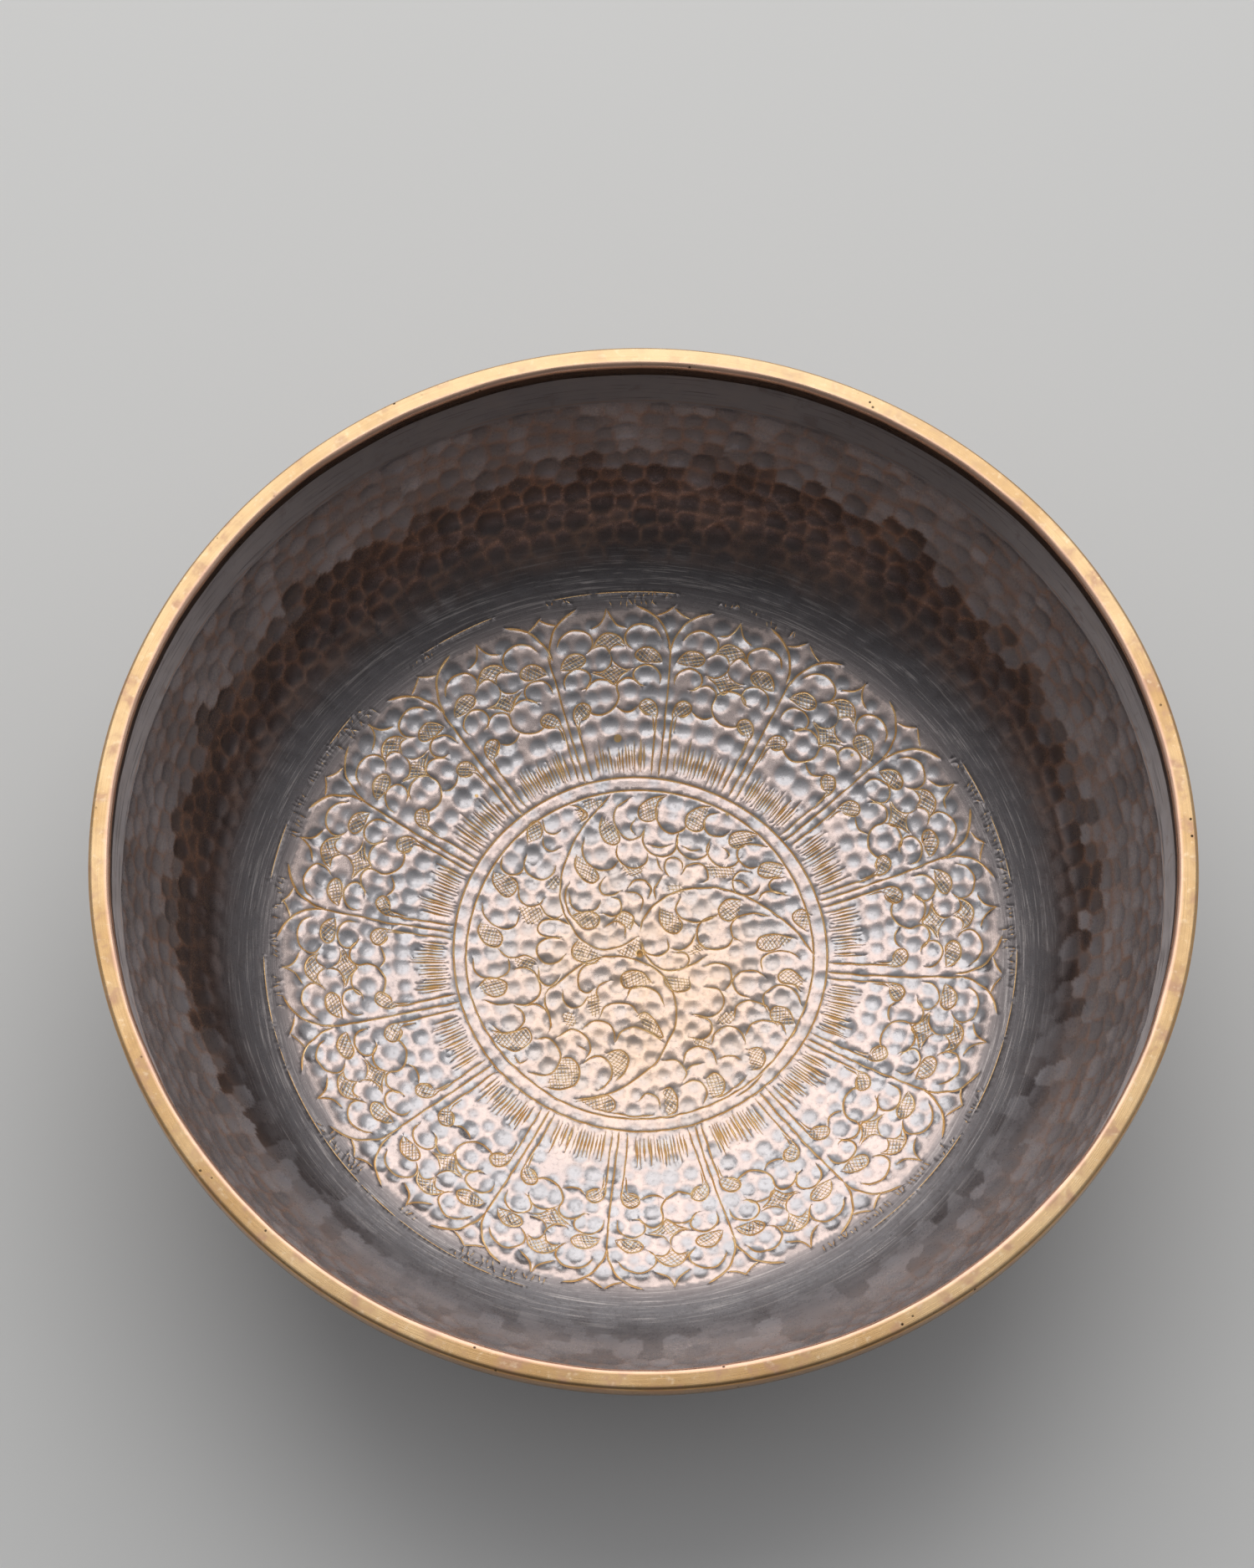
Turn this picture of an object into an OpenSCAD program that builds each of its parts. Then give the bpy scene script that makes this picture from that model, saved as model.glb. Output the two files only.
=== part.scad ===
// Hammered copper bowl with a brass-coloured rim ring.
// The bowl lies on its flat base. +Z points up, out of the mouth.
// The origin is the centre of the base. Millimetres.

/* [Bowl] */
// Outer diameter over the rim ring
rim_od = 300; // [260:1:360]
// Overall height, base to the top of the rim
bowl_h = 93; // [80:1:120]
// Thickness of the raised copper sheet
wall_t = 2.5; // [1.5:0.1:3.5]
// Diameter of the flat that the bowl rests on
base_d = 60; // [40:1:90]
// Diameter where the dished floor turns up into the wall
floor_d = 216; // [180:1:220]
// How much the floor rises from its flat middle to its edge
floor_rise = 15.5; // [6:0.5:18]
// Steepness of the wall just under the rim, from level
wall_angle = 78; // [70:1:86]

/* [Rim ring] */
// Width of the flat top of the ring
rim_w = 5.8; // [5.6:0.1:9]
// Height of the ring
rim_h = 6.5; // [5:0.1:9]
// How far the ring overhangs the wall outside
rim_over = 1.6; // [0.5:0.1:2]
// Depth of the groove that the wall's edge sits in
seat_depth = 3; // [1.5:0.1:3.5]
// Rounding of the ring's inner top edge
rim_r_in = 1.5; // [0.3:0.1:2]
// Rounding of the ring's outer top edge
rim_r_out = 1.1; // [0.3:0.1:2]
// Rounding of the ring's lower edges
rim_r_low = 0.6; // [0.2:0.1:0.8]

/* [Engraved floor] */
// Diameter of the scribed circle round the petals
ring_d = 213; // [170:0.5:218]
// Diameter of the outer circle of the medallion
medal_d = 108; // [80:0.5:140]
// Gap between the medallion's two circles
medal_gap = 3.8; // [2:0.1:8]
// Width of a scribed line
line_w = 0.7; // [0.4:0.05:1]
// Depth of a scribed line
line_deep = 0.3; // [0.1:0.05:0.5]
// Diameter of the punch mark that the circles were drawn from
punch_d = 1.8; // [1:0.1:3]
// Depth of the punch mark
punch_deep = 0.8; // [0.3:0.1:1.2]

/* [Hidden] */
$fn = 180;

// Inside of the wall where it enters the ring, and the ring's own radii
top_z   = bowl_h - rim_h;               // underside of the ring
seat_z  = top_z + seat_depth;           // top edge of the wall, inside the groove
wall_ro = rim_od / 2 - rim_over;        // wall's edge, outside
wall_ri = wall_ro - wall_t;             // wall's edge, inside
ring_ro = rim_od / 2;
ring_ri = ring_ro - rim_w;

// Dished floor: flat to base_d, then a parabola up to floor_d
fr  = floor_d / 2;
br  = base_d / 2;
fa  = floor_rise / pow(fr - br, 2);
fz  = wall_t + floor_rise;
fang = atan(2 * fa * (fr - br));        // slope at the floor's edge
function floor_z(r) = r <= br ? wall_t : wall_t + fa * pow(r - br, 2);

// Wall: one cubic curve from the floor's edge to the underside of the ring
rise = top_z - fz;
p0 = [fr, fz];
p3 = [wall_ri, top_z];
p1 = p0 + 0.40 * rise * [cos(fang), sin(fang)];
p2 = p3 - 0.43 * rise * [cos(wall_angle), sin(wall_angle)];
function wall_p(t) = pow(1 - t, 3) * p0 + 3 * t * pow(1 - t, 2) * p1
                   + 3 * t * t * (1 - t) * p2 + pow(t, 3) * p3;
function wall_d(t) = 3 * pow(1 - t, 2) * (p1 - p0) + 6 * t * (1 - t) * (p2 - p1)
                   + 3 * t * t * (p3 - p2);

FS = 12;                                // steps on the floor
WS = 22;                                // steps on the wall

// Inside of the bowl, centre to edge
floor_in = [for (i = [0 : FS - 1]) let (r = br + (fr - br) * i / FS) [r, floor_z(r)]];
wall_in  = [for (i = [0 : WS]) wall_p(i / WS)];
// Slope of each of those points, used to set the outside off by the thickness
floor_sl = [for (p = floor_in) atan(2 * fa * (p[0] - br))];
wall_sl  = [for (i = [0 : WS - 1]) let (d = wall_d(i / WS)) atan2(d[1], d[0])];
floor_out = [for (i = [0 : FS - 1]) floor_in[i] + wall_t * [sin(floor_sl[i]), -cos(floor_sl[i])]];
wall_out  = [for (i = [0 : WS - 1]) wall_in[i] + wall_t * [sin(wall_sl[i]), -cos(wall_sl[i])]];

shell_pts = concat(
    [[0, wall_t]], floor_in, wall_in,
    [[wall_ri, seat_z], [wall_ro, seat_z], [wall_ro, top_z]],
    [for (i = [WS - 1 : -1 : 0]) wall_out[i]],
    [for (i = [FS - 1 : -1 : 0]) floor_out[i]],
    [[0, 0]]);

// A V-shaped cut in the profile at radius r, its sides carried on above the floor
module groove(r) {
    z = floor_z(r) - line_deep;
    polygon([[r, z], [r + 1.5 * line_w, z + 3 * line_deep], [r - 1.5 * line_w, z + 3 * line_deep]]);
}

module ring_groove() {
    // The scribed circle lies on the floor or just past its edge
    r = min(ring_d / 2, fr - 1);
    groove(r);
}

// Bowl raised from one disc of copper, with its floor engraved
module bowl_body() {
    color([0.27, 0.19, 0.17])
    rotate_extrude()
    difference() {
        polygon(shell_pts);
        ring_groove();
        groove(medal_d / 2);
        groove(medal_d / 2 - medal_gap);
        polygon([[-1, wall_t + 1], [punch_d / 2, wall_t + 1], [punch_d / 2, wall_t],
                 [0, wall_t - punch_deep], [-1, wall_t - punch_deep]]);
    }
}

// Quarter circle of points about c, from angle a0 to a1
function corner(c, r, a0, a1, n = 8) =
    [for (i = [0 : n]) let (a = a0 + (a1 - a0) * i / n) c + r * [cos(a), sin(a)]];

// Ring with a flat top and rounded edges, grooved to sit astride the wall
module rim_ring() {
    color([0.80, 0.62, 0.36])
    rotate_extrude()
    difference() {
        polygon(concat(
            corner([ring_ri + rim_r_low, top_z + rim_r_low], rim_r_low, 180, 270, 4),
            corner([ring_ro - rim_r_low, top_z + rim_r_low], rim_r_low, 270, 360, 4),
            corner([ring_ro - rim_r_out, bowl_h - rim_r_out], rim_r_out, 0, 90),
            corner([ring_ri + rim_r_in, bowl_h - rim_r_in], rim_r_in, 90, 180)));
        translate([wall_ri, top_z - 1]) square([wall_t, seat_depth + 1]);
    }
}

bowl_body();
rim_ring();
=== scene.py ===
# Hammered copper bowl: the looks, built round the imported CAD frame.
import math

import bpy
import numpy as np
from mathutils import Matrix, Vector
from mathutils.geometry import delaunay_2d_cdt
from mathutils.kdtree import KDTree


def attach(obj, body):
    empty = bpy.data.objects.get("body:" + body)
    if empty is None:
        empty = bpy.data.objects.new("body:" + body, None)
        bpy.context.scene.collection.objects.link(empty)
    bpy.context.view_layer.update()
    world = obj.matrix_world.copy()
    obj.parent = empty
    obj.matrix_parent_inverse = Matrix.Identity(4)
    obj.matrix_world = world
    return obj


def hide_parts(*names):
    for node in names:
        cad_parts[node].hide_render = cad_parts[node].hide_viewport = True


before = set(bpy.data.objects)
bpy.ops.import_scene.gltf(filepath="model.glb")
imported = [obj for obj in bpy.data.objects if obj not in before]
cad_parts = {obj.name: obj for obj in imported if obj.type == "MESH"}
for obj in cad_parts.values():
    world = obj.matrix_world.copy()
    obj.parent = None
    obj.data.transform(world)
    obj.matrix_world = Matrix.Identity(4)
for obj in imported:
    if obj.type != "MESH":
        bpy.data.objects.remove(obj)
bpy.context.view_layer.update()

MM = 0.001
PI = math.pi
scene = bpy.context.scene

# ------------------------------------------------------------------ camera
# The view's own frame: lens 100 mm on a 36 mm long side, seen from 1.18 m,
# 21 degrees off the bowl's axis and rolled by 1.6 degrees.
TILT, ROLL, DIST = math.radians(21.147), math.radians(-1.623), 1.17624
OFF_X, OFF_Y = 0.00465, -0.01636
ct, st, cr, sr = math.cos(TILT), math.sin(TILT), math.cos(ROLL), math.sin(ROLL)
to_cam = Matrix(((cr, -sr, 0), (sr, cr, 0), (0, 0, 1))) @ Matrix(((1, 0, 0), (0, ct, st), (0, -st, ct)))
cam_data = bpy.data.cameras.new("camera")
cam_data.lens, cam_data.sensor_width = 100.0, 36.0
cam_data.clip_start, cam_data.clip_end = 0.05, 30.0
cam = bpy.data.objects.new("camera", cam_data)
scene.collection.objects.link(cam)
back = to_cam.transposed()
cam.matrix_world = Matrix.Translation(back @ Vector((-OFF_X, -OFF_Y, DIST)) + Vector((0, 0, 0.093))) @ back.to_4x4()
scene.camera = cam

# ------------------------------------------------------------------ profile (mm)
H, TOP, SEAT = 93.0, 86.5, 89.4
T = 2.5
RIM_RO, RIM_RI = 150.0, 144.2
WALL_RO = 148.4
WALL_RI = WALL_RO - T
FR, BR, RISE, ANG = 108.0, 30.0, 15.5, math.radians(78)
FA = RISE / (FR - BR) ** 2


def floor_z(r):
    return T + FA * np.clip(r - BR, 0, None) ** 2


def make_profile():
    """Inside of the bowl from the centre to the underside of the ring: arc length, r, z, slope."""
    r = np.linspace(0, FR, 600)
    z = floor_z(r)
    a = math.atan(2 * FA * (FR - BR))
    rise = TOP - (T + RISE)
    p0, p3 = np.array([FR, T + RISE]), np.array([WALL_RI, TOP])
    p1 = p0 + 0.40 * rise * np.array([math.cos(a), math.sin(a)])
    p2 = p3 - 0.43 * rise * np.array([math.cos(ANG), math.sin(ANG)])
    t = np.linspace(0, 1, 600)[1:, None]
    w = (1 - t) ** 3 * p0 + 3 * t * (1 - t) ** 2 * p1 + 3 * t * t * (1 - t) * p2 + t ** 3 * p3
    r, z = np.concatenate([r, w[:, 0]]), np.concatenate([z, w[:, 1]])
    s = np.concatenate([[0], np.cumsum(np.hypot(np.diff(r), np.diff(z)))])
    return s, r, z, np.arctan2(np.gradient(z, s), np.gradient(r, s))


PS, PR, PZ, PA = make_profile()
S_END = PS[-1]


def at(s):
    """r, z and slope of the inside at arc length s."""
    return np.interp(s, PS, PR), np.interp(s, PS, PZ), np.interp(s, PS, PA)


def s_of_r(r):
    return np.interp(r, PR, PS)


def s_of_z(z):
    return np.interp(z, PZ[1:], PS[1:])


# ------------------------------------------------------------------ hammer marks
def rows_of_dents(rng, s0, s1, pitch, along, jitter, radius, depth, skip, side):
    """Hammer marks in rough rings round the axis. Each is centre (mm), radius and depth."""
    out = []
    s, k = s0, 0
    while s < s1:
        r, _, _ = at(s)
        n = max(1, int(round(2 * PI * float(r) / along)))
        ph = rng.uniform(0, 2 * PI)
        for i in range(n):
            if rng.uniform() < skip:
                continue
            si = s + rng.normal(0, jitter)
            th = ph + 2 * PI * (i + rng.normal(0, jitter / along)) / n
            rr, zz, a = at(max(si, 0.1))
            if side < 0:
                rr, zz = rr + T * math.sin(a), zz - T * math.cos(a)
            k_r = float(np.clip(rng.normal(1, 0.12), 0.72, 1.3))
            calm = 1.0
            if side > 0 and 48.5 < rr < 63.5:
                calm = 0.60
            if side > 0 and rr > 110:
                calm = min(1.0, 0.10 + 0.90 * max(rr - 114.5 + 5.0 * math.sin(th), 0) / 13)
            out.append((rr * math.cos(th), rr * math.sin(th), zz, radius * k_r, calm * depth * k_r ** 2 * rng.uniform(0.55, 1.25)))
        s += pitch * rng.uniform(0.93, 1.07)
        k += 1
    return out


def dented(points, dents, soft, power):
    """For each point (mm, Nx3): how deep the marks go, how near a ridge it is, and which mark it lies in."""
    tree = KDTree(len(points))
    for i, p in enumerate(points):
        tree.insert(p, i)
    tree.balance()
    m1 = np.zeros(len(points))
    m2 = np.zeros(len(points))
    who = np.full(len(points), -1)
    for k, (x, y, z, rad, dep) in enumerate(dents):
        found = tree.find_range((x, y, z), rad)
        if not found:
            continue
        idx = np.fromiter((f[1] for f in found), np.int64, len(found))
        d = np.fromiter((f[2] for f in found), float, len(found)) / rad
        v = -dep * np.clip(1 - d * d, 0, 1) ** power
        m2[idx] = np.minimum(m2[idx], np.maximum(m1[idx], v))
        who[idx[v < m1[idx]]] = k
        m1[idx] = np.minimum(m1[idx], v)
    gap = np.abs(m1 - m2)
    h = m1 - np.clip(soft - gap, 0, None) ** 2 / (4 * soft)
    return h, gap, m1, who


def waves(rng, n=7, lo=2, hi=9):
    ks = rng.integers(lo, hi, n)
    return [(int(k), rng.uniform(0, 2 * PI), rng.uniform(0.5, 1) / k) for k in ks]


def wave(ws, th):
    v = np.zeros_like(th)
    for k, p, a in ws:
        v = v + a * np.sin(k * th + p)
    return v / max(1e-6, sum(a for _, _, a in ws)) * 2


# ------------------------------------------------------------------ engraving (mm, seen from above)
pen_rng = np.random.default_rng(41)
LINE = 0.76         # the tool was narrow: all cut lines share this
STROKES = []        # (points Nx2, half width, taper length, kind); kind 0 is a cut line, 1 is hatching
SPOTS = []          # small rubbed spots: x, y, radius


def smooth(points, step):
    """A Catmull-Rom curve through the points, cut into equal steps."""
    p = np.asarray(points, float)
    if len(p) > 2:
        e = np.vstack([2 * p[0] - p[1], p, 2 * p[-1] - p[-2]])
        t = np.linspace(0, 1, 14, endpoint=False)[:, None]
        parts = []
        for a, b, c, d in zip(e[:-3], e[1:-2], e[2:-1], e[3:]):
            parts.append(0.5 * ((2 * b) + (c - a) * t + (2 * a - 5 * b + 4 * c - d) * t ** 2 + (3 * b - a - 3 * c + d) * t ** 3))
        p = np.vstack([*parts, p[-1:]])
    s = np.concatenate([[0], np.cumsum(np.hypot(*np.diff(p, axis=0).T))])
    n = max(2, int(math.ceil(s[-1] / step)) + 1)
    q = np.linspace(0, s[-1], n)
    return np.stack([np.interp(q, s, p[:, 0]), np.interp(q, s, p[:, 1])], 1)


def cut(points, w=0.36, taper=1.6, step=0.8, shake=0.07):
    w = w * LINE
    p = smooth(points, step)
    if len(p) > 3 and shake:
        n = len(p)
        off = pen_rng.normal(0, 1, (max(3, n // 5 + 2), 2))
        q = np.linspace(0, len(off) - 1, n)
        o = np.stack([np.interp(q, np.arange(len(off)), off[:, i]) for i in (0, 1)], 1)
        p = p + shake * o
    STROKES.append((p, w * pen_rng.uniform(0.88, 1.12), taper, 0))
    return p


def ring_cut(radius, w, wobble, gaps=0.0, n=900, seed=0):
    rng = np.random.default_rng(seed)
    th = np.linspace(0, 2 * PI, n + 1)
    ws = waves(rng, 6, 2, 8)
    r = radius + wobble * wave(ws, th)
    p = np.stack([r * np.cos(th), r * np.sin(th)], 1)
    if not gaps:
        STROKES.append((p, w, 0.0, 0))
        return
    i = 0
    while i < n:
        run = int(rng.uniform(8, 60))
        if rng.uniform() > gaps:
            STROKES.append((p[i:min(i + run, n) + 1], w * rng.uniform(0.7, 1.1), 2.5, 0))
        i += run


def hatch(outline, angle, space=1.0, w=0.092, both=True):
    """Cross-hatching inside a closed outline."""
    o = np.asarray(outline, float)
    c = o.mean(0)
    o = c + (o - c) * 0.93
    for turn in ((angle, angle + 78) if both else (angle,)):
        a = math.radians(turn + pen_rng.uniform(-5, 5))
        R = np.array([[math.cos(a), math.sin(a)], [-math.sin(a), math.cos(a)]])
        q = (o - c) @ R.T
        y = q[:, 1].min() + space * 0.5
        while y < q[:, 1].max():
            xs = []
            for i in range(len(q)):
                (x0, y0), (x1, y1) = q[i - 1], q[i]
                if (y0 > y) != (y1 > y):
                    xs.append(x0 + (y - y0) / (y1 - y0) * (x1 - x0))
            xs.sort()
            for x0, x1 in zip(xs[::2], xs[1::2]):
                if x1 - x0 > 0.7:
                    e = pen_rng.uniform(-0.12, 0.12, 2)
                    ends = np.array([[x0 + 0.05, y + e[0]], [x1 - 0.05, y + e[1]]]) @ R + c
                    STROKES.append((smooth(ends, 1.1), w, 0.0, 1))
            y += space * pen_rng.uniform(0.9, 1.1)


RING_R = 106.6
STEMS = 16
PHASE = 85.5


def petal_ring():
    """Sixteen stems that fork at the rim of the floor, with buds, leaves and lobes between them."""
    for k in range(STEMS):
        mid = PHASE - 360 / STEMS * (k + 0.5) + pen_rng.uniform(-0.35, 0.35)
        stem_jit = pen_rng.uniform(-0.35, 0.35)

        def P(points, mirror=1, sh=0.16):
            out = []
            ju, jf = pen_rng.normal(0, 0.10), pen_rng.normal(0, 0.0016)
            for u, f in points:
                a = math.radians(mid - mirror * (u + ju))
                r = RING_R * (f + jf) + pen_rng.normal(0, sh * 0.5)
                out.append((r * math.cos(a), r * math.sin(a)))
            return out

        # the stem, its fork and the chevron above it
        cut(P([(-11.25 + stem_jit, 0.512), (-11.2 + stem_jit, 0.70), (-11.25, 0.872)]), 0.36, 1.2)
        for m in (1, -1):
            base = -11.25 if m == 1 else -11.25
            cut(P([(base, 0.852), (base + 0.35, 0.882), (-10.0, 0.911), (-9.0, 0.934), (-7.2, 0.956), (-5.0, 0.972)], m), 0.40, 1.4)
            cut(P([(-11.25, 0.972), (-9.9, 0.956), (-8.5, 0.947)], m), 0.30, 0.8)
        # the tip between two forks
        for m in (1, -1):
            cut(P([(0.05, 0.966), (-0.5, 0.943), (-1.4, 0.926), (-2.9, 0.916)], m), 0.33, 0.9)
        # outer lobes beside the fork
        for m in (1, -1):
            cut(P([(-9.3, 0.888), (-8.3, 0.909), (-6.3, 0.922), (-4.2, 0.915), (-3.0, 0.897), (-3.0, 0.873), (-4.2, 0.856)], m), 0.34, 1.2)
        # fan in the middle
        top = P([(-3.1, 0.866), (-2.3, 0.886), (-1.0, 0.901), (0.6, 0.902), (2.1, 0.889), (3.0, 0.866)], 1, 0.1)
        low_l = P([(-3.1, 0.866), (-1.8, 0.872), (-0.7, 0.866), (0.0, 0.847)], 1, 0.1)
        low_r = P([(3.0, 0.866), (1.8, 0.873), (0.7, 0.866), (0.0, 0.847)], 1, 0.1)
        cut(top, 0.34)
        cut(low_l, 0.30)
        cut(low_r, 0.30)
        hatch(np.vstack([smooth(top, 1), smooth(low_r, 1), smooth(low_l, 1)[::-1]]), 40 + math.degrees(math.radians(mid)))
        # stalk under the fan, splitting to the sides
        cut(P([(0.0, 0.848), (0.1, 0.832), (-0.6, 0.815), (-2.0, 0.804), (-3.8, 0.806)], 1), 0.30)
        cut(P([(0.1, 0.832), (1.0, 0.816), (2.6, 0.806), (4.0, 0.808)], 1), 0.28)
        # leaves beside the stem
        for m in (1, -1):
            leaf = P([(-9.9, 0.826), (-9.1, 0.846), (-7.6, 0.862), (-5.6, 0.859), (-4.7, 0.842), (-5.6, 0.826), (-7.4, 0.822)], m, 0.12)
            cut(leaf, 0.33)
            cut([leaf[-1], tuple((np.array(leaf[-1]) + leaf[0]) / 2), leaf[0]], 0.24, 0.6)
            hatch(smooth([*leaf, leaf[0]], 0.8), mid + 35 * m)
            # curls under the leaves
            cut(P([(-9.8, 0.770), (-9.7, 0.792), (-8.5, 0.811), (-6.6, 0.818), (-4.8, 0.806), (-4.3, 0.785), (-5.4, 0.765), (-6.6, 0.760)], m), 0.34)
        # four-cornered star with hollow sides
        s_top = P([(-3.9, 0.803), (-1.7, 0.808), (0.0, 0.820), (1.7, 0.808), (3.9, 0.803)], 1, 0.08)
        s_low = P([(3.9, 0.803), (1.9, 0.790), (0.2, 0.768), (-1.7, 0.790), (-3.9, 0.803)], 1, 0.08)
        cut(s_low, 0.30)
        hatch(np.vstack([smooth(s_top, 0.8), smooth(s_low, 0.8)]), mid + 40, 0.98)
        # lower lobes: one runs on into the scallop under its neighbour
        one = 1 if k % 2 == 0 else -1
        cut(P([(-5.9, 0.757), (-4.9, 0.773), (-3.0, 0.783), (-1.2, 0.774), (-0.7, 0.757), (-1.0, 0.732), (0.1, 0.706), (2.4, 0.690), (4.8, 0.694), (6.4, 0.707)], one), 0.36)
        cut(P([(-0.6, 0.758), (0.8, 0.776), (3.0, 0.782), (4.9, 0.772), (5.9, 0.755)], one), 0.35)
        cut(P([(-5.3, 0.706), (-3.7, 0.693), (-1.9, 0.693), (-0.3, 0.705)], one), 0.34)
        # buds on stalks, curling towards the middle
        for m in (1, -1):
            bud = P([(-9.35, 0.672), (-9.45, 0.698), (-8.7, 0.718), (-7.2, 0.727), (-5.7, 0.718), (-5.5, 0.702), (-6.6, 0.690), (-8.2, 0.684)], m, 0.1)
            cut(bud, 0.34)
            hatch(smooth([*bud, bud[0]], 0.8), mid - 40 * m, 0.95)
            cut(P([(-9.35, 0.690), (-9.3, 0.64), (-9.1, 0.58), (-9.0, 0.516)], m), 0.34, 2.0)
            cut(P([(-8.3, 0.684), (-8.75, 0.668), (-8.8, 0.64)], m), 0.28, 1.4)
            cut(P([(-8.2, 0.684), (-6.8, 0.686), (-5.3, 0.704)], m), 0.28, 0.9)
        # tick marks round the medallion
        n = int(pen_rng.integers(14, 19))
        lean = pen_rng.uniform(-1.2, 1.2)
        for i in range(n):
            u = -7.4 + 14.8 * (i + 0.5) / n + pen_rng.normal(0, 0.12)
            f0, f1 = 0.528 + pen_rng.normal(0, 0.004), 0.598 + pen_rng.normal(0, 0.011)
            cut(P([(u, f0), (u + lean * 0.2, f1)], 1, 0.05), 0.30 * pen_rng.uniform(0.85, 1.6), 3.6, 0.9, 0.02)


def dashes():
    """Broken rows of short ticks outside the petals, some long, some only dots."""
    for r, length, space, keep, seed in ((RING_R * 0.982, 1.3, 1.5, 0.30, 5), (RING_R * 1.000, 0.7, 1.3, 0.36, 9)):
        rng = np.random.default_rng(seed)
        n = int(2 * PI * r / space)
        on = True
        for i in range(n):
            if rng.uniform() < 0.10:
                on = rng.uniform() < keep
            if not on or rng.uniform() < 0.15:
                continue
            a = 2 * PI * (i + rng.normal(0, 0.18)) / n
            half = length / 2 * rng.uniform(0.6, 1.4)
            mid_r, lean = r + rng.normal(0, 0.25), rng.normal(0, 0.004)
            ends = [((mid_r - half) * math.cos(a), (mid_r - half) * math.sin(a)), ((mid_r + half) * math.cos(a + lean), (mid_r + half) * math.sin(a + lean))]
            STROKES.append((smooth(ends, 0.8), 0.125 * rng.uniform(0.8, 1.4), 0.4, 0))


MED_R, MED_IN = 54.0, 50.2


VINES = [
    [(-9.7, 48.5), (-14.2, 43.3), (-18.7, 36.6), (-21.3, 30.6), (-23.2, 24.6), (-23.7, 18.7), (-23.2, 14.2), (-20.9, 9), (-17.9, 4.5), (-14.2, 1.9), (-9.7, 0.9), (-4.5, 2.6), (-0.4, 5.2)],
    [(-20.9, 20.9), (-22, 18.7), (-21.8, 14.2), (-19.8, 10.5), (-17.2, 8.2)],
    [(0, 6.7), (0.7, 10.5), (3.7, 14.9), (9, 18.7), (14.9, 20.5), (21.7, 20.9), (27.6, 19.4), (33.6, 16.8), (38.8, 13.4), (44.1, 9), (47.8, 4.5), (50.4, 0.4)],
    [(0, 4.5), (1.1, 0.7), (3.7, -3), (7.5, -4.9), (11.2, -4.6), (14.9, -3), (19, -0.4)],
    [(-26.9, -13.4), (-26.1, -11.6), (-23.9, -10.1), (-20.2, -6.7), (-15.7, -3.4), (-10.5, -1.3), (-4.5, -1.3), (0.7, -2.6), (5.2, -5.2), (9, -9.7), (10.8, -15.7), (10.8, -21.7), (9, -26.1), (6, -32.1), (1.5, -36.6), (-4.5, -41.1), (-11.2, -44.1), (-17.2, -45.4)],
    [(-26.9, -13.1), (-27, -16.1), (-25.8, -18.7), (-25, -22), (-25.4, -24.6)],
]
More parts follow.
